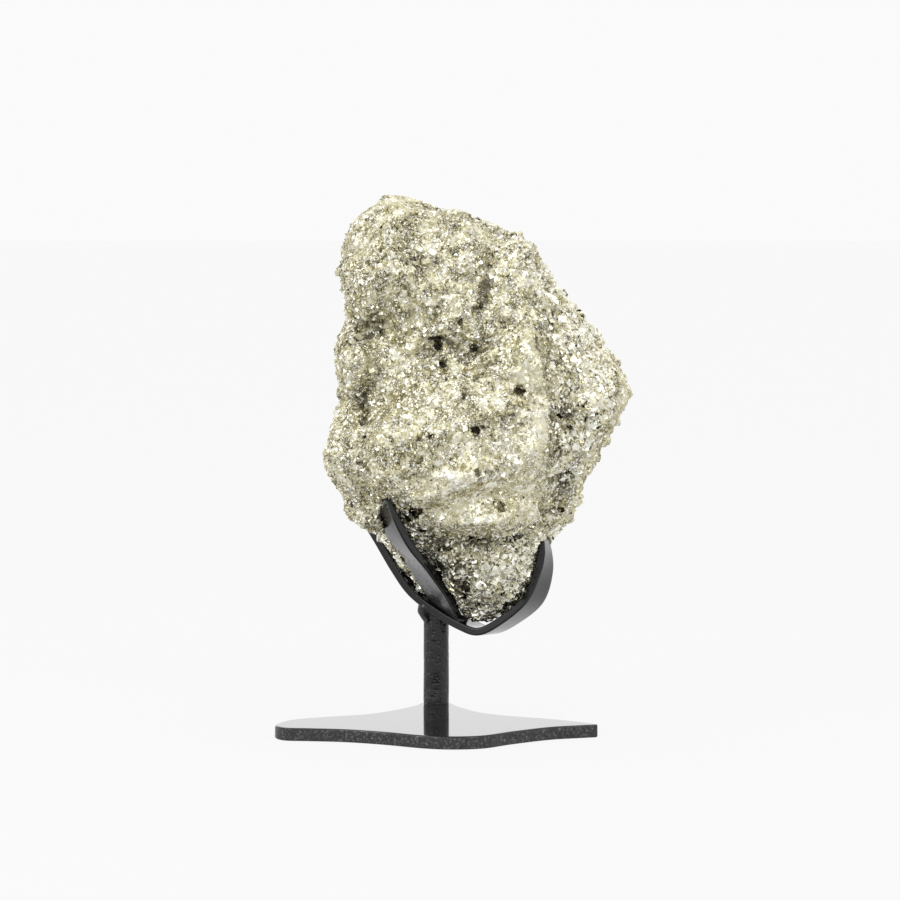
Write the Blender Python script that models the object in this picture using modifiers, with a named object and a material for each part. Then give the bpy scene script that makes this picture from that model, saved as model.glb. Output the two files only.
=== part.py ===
"""Pyrite specimen on a black welded steel stand.

Five pieces: the crystalline mass, the cradle band bent to a V, the front prong welded
to it, the round post and the wavy base plate. +Z is up, -Y is the front, and the
origin is the middle of the underside of the base plate.
Lengths below are in millimetres and are turned to metres where a mesh is made.
"""

import math
import random

import bmesh
import bpy
import numpy as np
from mathutils import Matrix, Vector, noise
from mathutils.bvhtree import BVHTree

MM = 0.001
OBJECT_NAME = "pyrite_specimen"
GAP = 0.3  # left between pieces that touch
TWISTED_GAP = 0.5  # the same beside the prong, whose faces are twisted

# Base plate: flat steel with a four-lobed wavy outline
PLATE_THICKNESS = 4.0
PLATE_EDGE = 0.4
PLATE_OUTLINE = (
    (-49.0, -12.0), (-46.4, -18.9), (-38.0, -20.5), (-27.0, -22.6), (-15.0, -28.0),
    (-4.5, -34.4), (4.4, -37.0), (14.5, -35.0), (23.5, -26.6), (35.0, -17.8),
    (45.5, -13.8), (49.5, -11.9), (45.0, -7.0), (36.0, -0.5), (23.5, 5.9),
    (14.0, 13.5), (7.2, 26.5), (3.6, 36.0), (-3.6, 36.0), (-7.0, 28.2),
    (-13.0, 18.9), (-21.5, 9.9), (-34.0, 4.2), (-44.5, -2.0),
)

# Post: round bar, welded to the plate's back lobe
POST_RADIUS = 4.0
POST_Y = 32.8
POST_SIDES = 32
WELD_BLOBS = (  # centre and radii of the bead that closes the slanted joint at the top
    ((-2.7, 31.2, 34.6), (3.1, 3.4, 4.6)),
    ((-1.4, 35.2, 34.2), (3.2, 2.8, 3.2)),
    ((1.8, 31.2, 32.2), (2.8, 3.2, 2.2)),
)

# Flat bar of the cradle band and the front prong
BAR_THICKNESS = 2.5
BAR_WIDTH = 12.0
BAR_EDGE = 0.45
BAND_TURN = math.radians(25.0)  # the band's plane, turned about the post
BAND_ALONG = Vector((math.cos(BAND_TURN), -math.sin(BAND_TURN), 0.0))
BAND_ACROSS = Vector((math.sin(BAND_TURN), math.cos(BAND_TURN), 0.0))
BAND_STEPS = 26
# Front edge of the band: distance along its plane from the post, height, bar width,
# and how far its back edge leans out to the right and down for each unit of width
BAND_EDGE = (
    (-25.0, 66.5, 4.0, 0.00, 0.00), (-22.7, 62.8, 8.5, 0.00, 0.00),
    (-18.9, 57.0, 12.0, 0.00, 0.00), (-11.9, 46.6, 12.0, 0.00, 0.00),
    (-6.1, 39.4, 12.0, 0.00, 0.00), (2.0, 34.1, 12.0, 0.00, 0.00),
    (10.5, 30.0, 12.0, 0.00, -0.04), (17.3, 28.5, 12.0, 0.00, -0.07),
    (24.8, 32.3, 12.0, 0.03, -0.10), (33.0, 39.2, 12.0, 0.05, -0.12),
    (37.3, 47.7, 12.0, -0.05, -0.06), (38.8, 54.5, 9.5, -0.16, 0.00),
    (39.5, 60.3, 3.6, -0.20, 0.00),
)
PRONG_STEPS = 20
# Front edge of the prong: place, rough direction towards its back edge, bar width
PRONG_EDGE = (
    ((8.1, 24.0, 31.0), (-0.55, 0.80, 0.05), 8.5),
    ((6.6, 21.5, 34.6), (-0.60, 0.78, 0.05), 10.5),
    ((3.6, 16.5, 40.9), (-0.60, 0.79, 0.08), 12.0),
    ((-1.5, 9.0, 49.0), (-0.54, 0.83, 0.12), 12.0),
    ((-6.9, 1.5, 56.5), (-0.53, 0.80, 0.17), 12.0),
    ((-10.2, -3.5, 62.7), (-0.55, 0.80, 0.18), 9.5),
    ((-13.2, -8.5, 70.0), (-0.55, 0.80, 0.20), 4.4),
    ((-14.4, -10.5, 72.5), (-0.55, 0.80, 0.20), 1.8),
)
PRONG_WELD = ((8.0, 25.6, 31.6), (2.2, 3.2, 1.6))

# Crystalline mass: level sections as height, left, right, front, back
SECTIONS = (
    (31.2, 12.0, 18.5, 19.0, 27.0),
    (36.6, 5.5, 25.0, 14.5, 32.0),
    (41.4, 0.5, 30.5, 10.5, 35.0),
    (47.0, -6.0, 33.0, 6.0, 37.0),
    (53.0, -14.0, 34.5, 3.0, 40.0),
    (59.8, -19.5, 40.0, 0.0, 41.5),
    (64.5, -22.8, 43.0, -6.0, 41.5),
    (69.5, -27.8, 44.6, -12.5, 41.0),
    (76.0, -32.2, 45.8, -19.0, 40.0),
    (83.0, -35.4, 48.8, -23.0, 38.5),
    (92.0, -33.6, 53.8, -23.0, 37.5),
    (101.6, -29.2, 60.0, -20.5, 36.5),
    (107.5, -30.8, 60.8, -17.0, 35.5),
    (115.4, -31.8, 56.2, -14.0, 34.5),
    (124.7, -29.8, 49.2, -11.0, 33.0),
    (134.0, -28.0, 40.6, -9.0, 31.0),
    (143.2, -29.3, 34.6, -7.0, 28.0),
    (152.5, -28.8, 26.5, -4.0, 24.0),
    (157.0, -25.4, 14.5, -1.0, 20.0),
    (161.7, -20.6, 1.5, 4.0, 17.0),
    (165.6, -17.2, -9.5, 8.0, 13.0),
)
CRUST = 1.0  # the sections lie this far inside the bumps and crystals
SECTION_STEP = 3.0  # between the loft's rings
SECTION_POINTS = 48
SECTION_SQUARENESS = 2.35  # exponent of each section's rounded outline; 2 is an ellipse

# Lumps that grew together: centre and radii
LUMPS = (
    ((-11.0, 9.5, 158.0), (6.6, 8.0, 7.0)),
    ((5.3, 8.5, 154.0), (7.0, 8.5, 7.2)),
    ((23.5, 7.0, 145.5), (7.0, 9.0, 7.0)),
    ((-13.5, 2.5, 141.5), (14.5, 12.5, 12.0)),
    ((-21.5, 0.5, 129.0), (7.0, 9.0, 7.0)),
    ((14.5, 3.0, 124.0), (7.0, 9.0, 9.0)),
    ((28.0, -3.5, 116.0), (6.5, 11.5, 10.0)),
    ((-2.5, -3.5, 106.0), (9.0, 12.0, 8.0)),
    ((7.5, 0.5, 88.0), (26.0, 24.0, 25.0)),
    ((-23.0, 1.0, 113.5), (8.0, 14.0, 11.0)),
    ((-27.0, 4.0, 87.0), (6.3, 14.0, 13.0)),
    ((-20.0, 9.0, 69.0), (6.0, 12.0, 8.0)),
    ((14.5, -6.5, 68.0), (19.5, 13.0, 7.0)),
    ((16.0, 17.5, 50.0), (13.5, 16.0, 12.0)),
    ((-3.5, 33.0, 48.5), (8.5, 7.5, 9.0)),
    ((42.0, 7.0, 113.0), (9.5, 13.0, 11.5)),
    ((48.5, 8.5, 101.5), (9.0, 12.0, 9.0)),
    ((43.5, 6.5, 87.0), (7.0, 11.5, 9.0)),
    ((36.0, 6.0, 71.5), (6.5, 12.5, 9.0)),
    ((33.0, 15.0, 60.5), (4.5, 12.0, 6.0)),
    ((34.0, 24.0, 118.0), (10.5, 11.5, 12.0)),
    ((17.0, 25.0, 131.0), (14.0, 9.5, 13.0)),
    ((-13.5, 21.5, 140.0), (12.5, 9.5, 13.0)),
    ((-17.5, 27.0, 112.0), (12.0, 10.5, 15.0)),
    ((15.0, 28.5, 104.0), (15.5, 12.0, 14.0)),
    ((40.0, 24.0, 95.0), (11.0, 12.0, 12.0)),
    ((-19.0, 29.5, 84.0), (12.0, 12.5, 13.5)),
    ((12.0, 31.0, 74.5), (17.5, 12.5, 13.5)),
    ((31.0, 27.5, 72.0), (9.5, 12.0, 11.0)),
    ((-11.5, 33.5, 62.0), (8.0, 8.5, 9.5)),
)
LUMP_SWELL = 0.14  # how unround a lump is, as a share of its radius

# Creases worn back between the lumps: x and z of both ends, half width, depth
FRONT_CREASES = (
    ((18.5, 147.0), (14.5, 131.0), 2.6, 4.5),
    ((11.0, 138.0), (14.5, 131.0), 2.4, 3.5),
    ((-31.0, 127.5), (-12.0, 126.5), 2.8, 4.0),
    ((-12.0, 126.5), (2.0, 128.0), 2.6, 3.0),
    ((-2.0, 117.0), (13.0, 119.5), 5.0, 6.0),
    ((13.0, 119.5), (19.0, 127.5), 3.2, 3.5),
    ((18.0, 107.0), (34.0, 104.0), 2.6, 3.0),
    ((34.0, 127.0), (39.5, 106.0), 2.8, 4.5),
    ((39.5, 106.0), (39.0, 88.0), 3.6, 7.5),
    ((39.0, 88.0), (35.5, 66.0), 2.8, 5.0),
    ((-20.5, 104.0), (-22.0, 88.0), 2.4, 4.5),
    ((-22.0, 88.0), (-21.0, 72.0), 2.4, 4.0),
    ((-31.0, 101.5), (-15.0, 102.5), 2.4, 4.0),
    ((-15.0, 102.5), (-10.0, 112.0), 2.4, 2.5),
    ((46.0, 96.0), (58.0, 95.0), 2.2, 2.5),
)
BACK_CREASES = (
    ((-22.0, 126.0), (6.0, 120.0), 3.0, 4.0),
    ((6.0, 120.0), (24.0, 142.0), 3.0, 3.0),
    ((-2.0, 118.0), (-4.0, 78.0), 3.0, 4.5),
    ((-4.0, 92.0), (26.0, 88.0), 2.8, 3.5),
    ((26.0, 110.0), (29.0, 66.0), 3.2, 5.0),
    ((-26.0, 70.0), (2.0, 60.0), 2.8, 3.5),
)

# Hollows under the overhangs: centre and radii of what is missing
HOLLOWS = (
    ((-13.0, 12.0, 43.5), (13.0, 24.0, 8.0)),
    ((-3.5, 2.5, 46.0), (9.5, 16.0, 9.0)),
    ((-12.5, -21.0, 63.0), (14.0, 18.0, 12.0)),
    ((16.0, -19.0, 52.0), (24.0, 19.0, 9.0)),
    ((37.5, -4.0, 55.0), (8.0, 15.5, 11.0)),
)
CLEFT_REACH = 24.0  # clefts in front of the bars' upper ends, which stay in sight
CLEFT_WIDTH = 4.6
BAND_CLEFT_STEPS = 8  # how much of the band's right end shows, in steps of its path

# Pits broken through to darker hollows: x and z on the front, radius, depth
PITS = (
    (0.4, 120.8, 2.2, 5.0), (2.2, 114.1, 2.0, 4.5), (7.1, 126.2, 1.7, 4.0),
    (11.9, 118.5, 1.6, 3.5), (25.5, 106.3, 1.5, 3.2), (12.2, 94.3, 1.6, 3.4),
    (12.8, 82.8, 1.7, 3.6), (-1.4, 92.8, 1.3, 2.8), (-4.7, 85.7, 1.3, 2.8),
    (25.7, 62.4, 2.4, 5.5), (16.5, 61.6, 2.0, 5.0), (19.5, 71.8, 1.4, 3.0),
    (38.2, 68.6, 1.8, 3.6), (-6.3, 67.0, 2.4, 4.5), (8.8, 44.5, 2.2, 4.0),
    (18.5, 52.0, 1.5, 3.0), (40.5, 94.0, 1.9, 4.0), (-24.0, 128.0, 1.5, 3.2),
)

CREASE_WANDER = (9.0, 2.2)  # spacing and reach of each crease's wandering

CORE_VOXEL = 1.5
CORE_TRIANGLES = 2150
ROUGHNESS = ((11.0, 1.5), (5.0, 0.9), (2.6, 0.35))  # spacing and height of the bumps

# Cubic crystals: count, edge lengths, share of the edge that stands out
CRYSTALS = 172
CRYSTAL_EDGE = (2.2, 3.9)
CRYSTAL_SPACING = 3.4
CRYSTAL_PROUD = 0.24
CRYSTAL_CLEAR_OF_BARS = 4.2
FINE_BAND = ((-8.0, 36.0), (61.0, 80.0))  # x and z of the fine-grained front, almost bare
FINE_SHARE = 0.12
COARSE_RIGHT = 33.0  # beyond this x, and below this z, the crystals crowd together
COARSE_BELOW = 60.0
COARSE_SHARE = 2.6
SEED = 19


def start_scene():
    """An empty scene with one collection for the pieces and one for the cutters."""
    noise.seed_set(SEED)
    for old in list(bpy.data.objects):
        bpy.data.objects.remove(old, do_unlink=True)
    parts = bpy.data.collections.new(OBJECT_NAME)
    cutters = bpy.data.collections.new("cutters")
    for collection in (parts, cutters):
        bpy.context.scene.collection.children.link(collection)
    cutters.hide_render = True
    return parts, cutters


def material(name, colour, metallic, roughness):
    made = bpy.data.materials.new(name)
    made.use_nodes = True
    shader = made.node_tree.nodes["Principled BSDF"]
    shader.inputs["Base Color"].default_value = (*colour, 1.0)
    shader.inputs["Metallic"].default_value = metallic
    shader.inputs["Roughness"].default_value = roughness
    return made


def put(name, mesh, collection, finish=None):
    """An object of this mesh, whose places are already metres in the part's frame."""
    if finish:
        mesh.materials.clear()
        mesh.materials.append(finish)
    made = bpy.data.objects.new(name, mesh)
    collection.objects.link(made)
    return made


def put_cutter(name, mesh, cutters):
    made = put(name, mesh, cutters)
    made.hide_render = True
    made.display_type = "WIRE"
    return made


def mesh_from(bm, name):
    """The bmesh, in millimetres until now, as a mesh in metres."""
    bmesh.ops.scale(bm, vec=(MM, MM, MM), verts=bm.verts)
    bmesh.ops.recalc_face_normals(bm, faces=bm.faces)
    mesh = bpy.data.meshes.new(name)
    bm.to_mesh(mesh)
    bm.free()
    return mesh


def settle(piece):
    """Gives the object the mesh that its modifiers make, and removes them."""
    bpy.context.view_layer.update()
    graph = bpy.context.evaluated_depsgraph_get()
    mesh = bpy.data.meshes.new_from_object(piece.evaluated_get(graph))
    piece.modifiers.clear()
    piece.data = mesh


def boolean(piece, operation, other, collection=False):
    step = piece.modifiers.new(operation.lower(), "BOOLEAN")
    step.operation = operation
    step.solver = "EXACT"
    if collection:
        step.operand_type = "COLLECTION"
        step.collection = other
    else:
        step.object = other
    settle(piece)


def ellipsoid(bm, centre, radii, subdivisions=2):
    """Adds an icosphere stretched to these radii, and returns its vertices."""
    place = Matrix.Translation(centre) @ Matrix.Diagonal((*radii, 1.0))
    return bmesh.ops.create_icosphere(bm, subdivisions=subdivisions, radius=1.0, matrix=place)["verts"]


def smooth_rows(rows, steps):
    """Rows of numbers read at even steps from a Catmull-Rom curve through them."""
    rows = [Vector(row) for row in rows]
    rows = [2 * rows[0] - rows[1], *rows, 2 * rows[-1] - rows[-2]]
    spans = len(rows) - 3
    read = []
    for step in range(steps + 1):
        at = min(step / steps * spans, spans - 1e-6)
        i = int(at)
        t = at - i
        a, b, c, d = rows[i:i + 4]
        bend = (2 * a - 5 * b + 4 * c - d) * t * t + (3 * b - 3 * c + d - a) * t ** 3
        read.append((2 * b + (c - a) * t + bend) / 2)
    return read


# Stand


def base_plate(parts, finish):
    """The wavy outline as a filled flat curve, extruded, with its edges broken."""
    curve = bpy.data.curves.new("base_plate_outline", "CURVE")
    curve.dimensions = "2D"
    curve.fill_mode = "BOTH"
    curve.resolution_u = 3
    curve.extrude = PLATE_THICKNESS / 2 * MM
    spline = curve.splines.new("BEZIER")
    spline.bezier_points.add(len(PLATE_OUTLINE) - 1)
    for point, (x, y) in zip(spline.bezier_points, PLATE_OUTLINE):
        point.co = (x * MM, y * MM, 0.0)
        point.handle_left_type = "AUTO"
        point.handle_right_type = "AUTO"
    spline.use_cyclic_u = True
    flat = bpy.data.objects.new("base_plate_flat", curve)
    parts.objects.link(flat)
    flat.location.z = PLATE_THICKNESS / 2 * MM
    bpy.context.view_layer.update()
    graph = bpy.context.evaluated_depsgraph_get()
    mesh = bpy.data.meshes.new_from_object(flat.evaluated_get(graph))
    mesh.transform(flat.matrix_world)
    bpy.data.objects.remove(flat, do_unlink=True)

    bm = bmesh.new()
    bm.from_mesh(mesh)
    bmesh.ops.remove_doubles(bm, verts=bm.verts, dist=0.01 * MM)
    bmesh.ops.dissolve_limit(bm, angle_limit=math.radians(1.0), verts=bm.verts, edges=bm.edges)
    bmesh.ops.recalc_face_normals(bm, faces=bm.faces)
    bm.to_mesh(mesh)
    bm.free()
    plate = put("base_plate", mesh, parts, finish)
    edge = plate.modifiers.new("broken edges", "BEVEL")
    edge.width = PLATE_EDGE * MM
    edge.segments = 1
    edge.limit_method = "ANGLE"
    edge.angle_limit = math.radians(60.0)
    return plate


def bar_mesh(name, edge, across, widths):
    """A flat bar's middle surface, from one edge's points across to the other edge."""
    bm = bmesh.new()
    rows = []
    for place, side, width in zip(edge, across, widths):
        near = bm.verts.new(place)
        middle = bm.verts.new(place + side * (width / 2))
        far = bm.verts.new(place + side * width)
        rows.append((near, middle, far))
    for before, after in zip(rows, rows[1:]):
        for i in range(2):
            bm.faces.new((before[i], after[i], after[i + 1], before[i + 1]))
    return mesh_from(bm, name)


def thicken(bar, thickness, edge):
    """Solidify about the middle surface, then broken edges where edge is given."""
    wall = bar.modifiers.new("stock thickness", "SOLIDIFY")
    wall.thickness = thickness * MM
    wall.offset = 0.0
    wall.use_even_offset = True
    if edge:
        broken = bar.modifiers.new("broken edges", "BEVEL")
        broken.width = edge * MM
        broken.segments = 1
        broken.limit_method = "ANGLE"
        broken.angle_limit = math.radians(60.0)
    settle(bar)


def band_lines():
    """The band's front edge, its direction across and its widths."""
    start = Vector((0.0, POST_Y, 0.0)) - BAND_ACROSS * (BAR_WIDTH / 2)
    edge, across, widths = [], [], []
    for along, up, width, lean, drop in smooth_rows(BAND_EDGE, BAND_STEPS):
        edge.append(start + BAND_ALONG * along + Vector((0.0, 0.0, up)))
        across.append((BAND_ACROSS + BAND_ALONG * lean + Vector((0.0, 0.0, drop))).normalized())
        widths.append(width)
    return edge, across, widths


def prong_lines():
    """The prong's front edge, its widths and its direction across, square to the edge."""
    rows = smooth_rows([(*place, *side, width) for place, side, width in PRONG_EDGE], PRONG_STEPS)
    edge = [Vector(row[:3]) for row in rows]
    across = []
    for i, row in enumerate(rows):
        along = (edge[min(i + 1, len(edge) - 1)] - edge[max(i - 1, 0)]).normalized()
        side = Vector(row[3:6])
        across.append((side - along * side.dot(along)).normalized())
    return edge, across, [row[6] for row in rows]


def widened(lines, by):
    """The same bar, reaching further by this much at both edges and both ends."""
    edge, across, widths = lines
    edge = [place - side * by for place, side in zip(edge, across)]
    first = (edge[0] - edge[1]).normalized() * by
    last = (edge[-1] - edge[-2]).normalized() * by
    edge = [edge[0] + first, *edge[1:-1], edge[-1] + last]
    return edge, across, [width + 2 * by for width in widths]


def bar(name, lines, parts, finish):
    made = put(name, bar_mesh(name, *lines), parts, finish)
    thicken(made, BAR_THICKNESS, BAR_EDGE)
    return made


def bar_cutter(name, lines, gap, cutters):
    """The bar with the gap all round it, which clears what it touches."""
    made = put_cutter(name, bar_mesh(name, *widened(lines, gap)), cutters)
    thicken(made, BAR_THICKNESS + 2 * gap, 0.0)
    return made


def post(parts, cutters, band_cutter, finish):
    """The round bar with its weld bead, cut off to the band's slanted underside."""
    top = BAND_EDGE[4][1]
    foot = PLATE_THICKNESS + GAP
    bm = bmesh.new()
    place = Matrix.Translation((0.0, POST_Y, (top + foot) / 2))
    bmesh.ops.create_cone(
        bm, cap_ends=True, segments=POST_SIDES, radius1=POST_RADIUS, radius2=POST_RADIUS,
        depth=top - foot, matrix=place,
    )
    made = put("post", mesh_from(bm, "post"), parts, finish)
    for i, blob in enumerate(WELD_BLOBS):
        boolean(made, "UNION", weld_blob(f"post_weld_{i}", blob, 0.0, cutters))
    boolean(made, "DIFFERENCE", band_cutter)
    keep_largest(made)
    return made


def weld_blob(name, blob, grown, cutters):
    centre, radii = blob
    bm = bmesh.new()
    ellipsoid(bm, centre, [radius + grown for radius in radii])
    return put_cutter(name, mesh_from(bm, name), cutters)


def prong(parts, cutters, band_cutter, finish):
    """The tapered front prong with its weld at the foot, cleared from the band."""
    made = bar("front_prong", prong_lines(), parts, finish)
    boolean(made, "UNION", weld_blob("prong_weld", PRONG_WELD, 0.0, cutters))
    boolean(made, "DIFFERENCE", band_cutter)
    keep_largest(made)
    return made


# Crystalline mass


def section_ring(height, left, right, front, back):
    """One level outline: a rounded rectangle |x/a|^n + |y/b|^n = 1 about its middle."""
    middle_x, middle_y = (left + right) / 2, (front + back) / 2
    half_x, half_y = (right - left) / 2 - CRUST, (back - front) / 2 - CRUST
    power = 2 / SECTION_SQUARENESS
    ring = []
    for i in range(SECTION_POINTS):
        turn = 2 * math.pi * i / SECTION_POINTS
        across, deep = math.cos(turn), math.sin(turn)
        x = middle_x + half_x * math.copysign(abs(across) ** power, across)
        y = middle_y + half_y * math.copysign(abs(deep) ** power, deep)
        ring.append(Vector((x, y, height)))
    return ring


def section_at(height):
    """The section read straight between the two given levels around this height."""
    for low, high in zip(SECTIONS, SECTIONS[1:]):
        if height <= high[0]:
            t = (height - low[0]) / (high[0] - low[0])
            return [a + (b - a) * t for a, b in zip(low, high)]
    return list(SECTIONS[-1])


def core_mesh():
    """The lofted sections and all the lumps, overlapping, in one mesh."""
    bm = bmesh.new()
    low, high = SECTIONS[0][0], SECTIONS[-1][0]
    count = round((high - low) / SECTION_STEP)
    rings = []
    for i in range(count + 1):
        ring = section_ring(*section_at(low + (high - low) * i / count))
        rings.append([bm.verts.new(place) for place in ring])
    for below, above in zip(rings, rings[1:]):
        for i in range(SECTION_POINTS):
            j = (i + 1) % SECTION_POINTS
            bm.faces.new((below[i], below[j], above[j], above[i]))
    bm.faces.new(list(reversed(rings[0])))
    bm.faces.new(rings[-1])
    for centre, radii in LUMPS:
        for vert in ellipsoid(bm, centre, radii, subdivisions=3):
            away = vert.co - Vector(centre)
            swell = noise.noise(vert.co / 9.0) * LUMP_SWELL * 2
            vert.co = Vector(centre) + away * (1 + swell)
    return mesh_from(bm, "pyrite")


def crease_depth(x, z, creases):
    """How far the creases of one side are worn back here: each has a bell-shaped section."""
    worn = 0.0
    for (x0, z0), (x1, z1), half_width, depth in creases:
        along_x, along_z = x1 - x0, z1 - z0
        t = ((x - x0) * along_x + (z - z0) * along_z) / (along_x ** 2 + along_z ** 2)
        t = max(0.0, min(1.0, t))
        away = math.hypot(x - x0 - t * along_x, z - z0 - t * along_z)
        worn = max(worn, depth * math.exp(-((away / half_width) ** 2) / 2))
    return worn


def weather(piece):
    """Moves each point: bumps along its normal, creases straight in from front and back."""
    bm = bmesh.new()
    bm.from_mesh(piece.data)
    bm.normal_update()
    moves = []
    for vert in bm.verts:
        place, normal = vert.co / MM, vert.normal
        wander = noise.noise_vector(place / CREASE_WANDER[0]) * CREASE_WANDER[1]
        creases = FRONT_CREASES if normal.y < 0 else BACK_CREASES
        worn = crease_depth(place.x + wander.x, place.z + wander.z, creases)
        worn *= min(1.0, 1.6 * abs(normal.y))
        bump = sum(height * noise.noise(place / spacing) for spacing, height in ROUGHNESS)
        inwards = Vector((0.0, math.copysign(worn, normal.y), 0.0))
        moves.append((normal * bump - inwards) * MM)
    for vert, move in zip(bm.verts, moves):
        vert.co += move
    bm.to_mesh(piece.data)
    bm.free()


def tree_of(piece):
    bm = bmesh.new()
    bm.from_mesh(piece.data)
    tree = BVHTree.FromBMesh(bm)
    bm.free()
    return tree


def cleft(name, edge, cutters):
    """A slot as wide as the cleft, from the bar's front edge straight to the front."""
    front = [place - Vector((0.0, CLEFT_REACH, 0.0)) for place in edge]
    sides = [Vector((0.0, 1.0, 0.0))] * len(edge)
    widths = [CLEFT_REACH + BAR_THICKNESS] * len(edge)
    made = put_cutter(name, bar_mesh(name, front, sides, widths), cutters)
    thicken(made, CLEFT_WIDTH, 0.0)
    return made


def hollow_out(piece, cutters):
    """Takes the hollows out from under the overhangs, and the clefts before the bars."""
    hollows = bpy.data.collections.new("hollows")
    cutters.children.link(hollows)
    for i, (centre, radii) in enumerate(HOLLOWS):
        bm = bmesh.new()
        ellipsoid(bm, centre, radii, subdivisions=3)
        put_cutter(f"hollow_{i}", mesh_from(bm, f"hollow_{i}"), hollows)
    boolean(piece, "DIFFERENCE", hollows, collection=True)
    boolean(piece, "DIFFERENCE", cleft("prong_cleft", prong_lines()[0], cutters))
    right_end = band_lines()[0][-BAND_CLEFT_STEPS:]
    boolean(piece, "DIFFERENCE", cleft("band_cleft", right_end, cutters))


def in_order(piece):
    """Lists the points from the bottom up and the faces after them.

    Remesh works in parallel and may list them in any order, which every later step
    that picks faces or drops edges would otherwise follow.
    """
    old = piece.data
    places = np.empty(len(old.vertices) * 3, np.float32)
    old.vertices.foreach_get("co", places)
    places = places.reshape(-1, 3)
    order = np.lexsort((places[:, 0], places[:, 1], places[:, 2]))
    rank = np.empty(len(order), int)
    rank[order] = np.arange(len(order))
    faces = []
    for face in old.polygons:
        corners = [int(rank[i]) for i in face.vertices]
        first = corners.index(min(corners))
        faces.append(tuple(corners[first:] + corners[:first]))
    mesh = bpy.data.meshes.new(old.name)
    mesh.from_pydata(places[order].tolist(), [], sorted(faces))
    piece.data = mesh


def fuse(piece):
    """Remeshes whatever overlaps into one skin of even cells."""
    step = piece.modifiers.new("fuse", "REMESH")
    step.mode = "VOXEL"
    step.voxel_size = CORE_VOXEL * MM
    settle(piece)
    in_order(piece)


def sink_pits(piece, cutters):
    """Cuts each pit as a ragged pocket that follows the surface it breaks."""
    tree = tree_of(piece)
    pits = bpy.data.collections.new("pits")
    cutters.children.link(pits)
    for i, (x, z, radius, depth) in enumerate(PITS):
        start = Vector((x * MM, -0.1, z * MM))
        spot, normal, face, distance = tree.ray_cast(start, Vector((0.0, 1.0, 0.0)))
        bm = bmesh.new()
        for vert in ellipsoid(bm, (0, 0, 0), (radius, depth, radius * 1.2), subdivisions=1):
            vert.co *= 1 + 0.35 * noise.noise(vert.co + Vector((i, 0, 0)))
        turn = Matrix.Rotation(math.radians(35 * math.sin(i)), 4, "Y")
        bmesh.ops.transform(bm, matrix=Matrix.Translation(spot / MM) @ turn, verts=bm.verts)
        put_cutter(f"pit_{i}", mesh_from(bm, f"pit_{i}"), pits)
    boolean(piece, "DIFFERENCE", pits, collection=True)


def crystal_share(place):
    """How thickly crystals grow here: few on the fine front, most on the coarse ends."""
    (left, right), (low, high) = FINE_BAND
    if place.y < 0 and left < place.x < right and low < place.z < high:
        return FINE_SHARE
    if place.x > COARSE_RIGHT or place.z < COARSE_BELOW:
        return COARSE_SHARE
    return 1.0


def crystal_places(piece, bars):
    """Seeded places on the surface, spread out and clear of the bars, with normals."""
    chance = random.Random(SEED)
    mesh = piece.data
    mesh.calc_loop_triangles()
    areas = [triangle.area * crystal_share(triangle.center / MM) for triangle in mesh.loop_triangles]
    near_bars = [tree_of(held) for held in bars]
    found = []
    for triangle in chance.choices(mesh.loop_triangles, weights=areas, k=CRYSTALS * 30):
        if len(found) == CRYSTALS:
            break
        a, b, c = (mesh.vertices[i].co for i in triangle.vertices)
        u, v = sorted((chance.random(), chance.random()))
        spot = a * u + b * (v - u) + c * (1 - v)
        if any((spot - other).length < CRYSTAL_SPACING * MM for other, _ in found):
            continue
        reach = CRYSTAL_CLEAR_OF_BARS * MM
        if any(tree.find_nearest(spot, reach)[0] for tree in near_bars):
            continue
        found.append((spot.copy(), triangle.normal.copy()))
    return found, chance


def grow_crystals(piece, bars):
    """Joins cubes to the mass, each turned its own way and sunk below its middle."""
    places, chance = crystal_places(piece, bars)
    bm = bmesh.new()
    for spot, normal in places:
        edge = chance.uniform(*CRYSTAL_EDGE) * MM
        turn = Matrix.Rotation(chance.uniform(0, math.tau), 4, (
            chance.uniform(-1, 1), chance.uniform(-1, 1), chance.uniform(-1, 1) + 1e-3))
        centre = spot + normal * (edge * (CRYSTAL_PROUD - 0.5) + 0.35 * MM)
        bmesh.ops.create_cube(bm, size=edge, matrix=Matrix.Translation(centre) @ turn)
    mesh = bpy.data.meshes.new("crystals")
    bm.to_mesh(mesh)
    bm.free()
    return mesh


def keep_largest(piece):
    """Drops any crumb that a cut left loose, and welds the points left on the cuts."""
    bm = bmesh.new()
    bm.from_mesh(piece.data)
    bmesh.ops.remove_doubles(bm, verts=bm.verts, dist=0.002 * MM)
    seen, groups = set(), []
    for vert in bm.verts:
        if vert in seen:
            continue
        group, todo = [], [vert]
        seen.add(vert)
        while todo:
            at = todo.pop()
            group.append(at)
            for link in at.link_edges:
                other = link.other_vert(at)
                if other not in seen:
                    seen.add(other)
                    todo.append(other)
        groups.append(group)
    groups.sort(key=len)
    for group in groups[:-1]:
        bmesh.ops.delete(bm, geom=group, context="VERTS")
    bmesh.ops.triangulate(bm, faces=bm.faces)
    bm.to_mesh(piece.data)
    bm.free()


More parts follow.
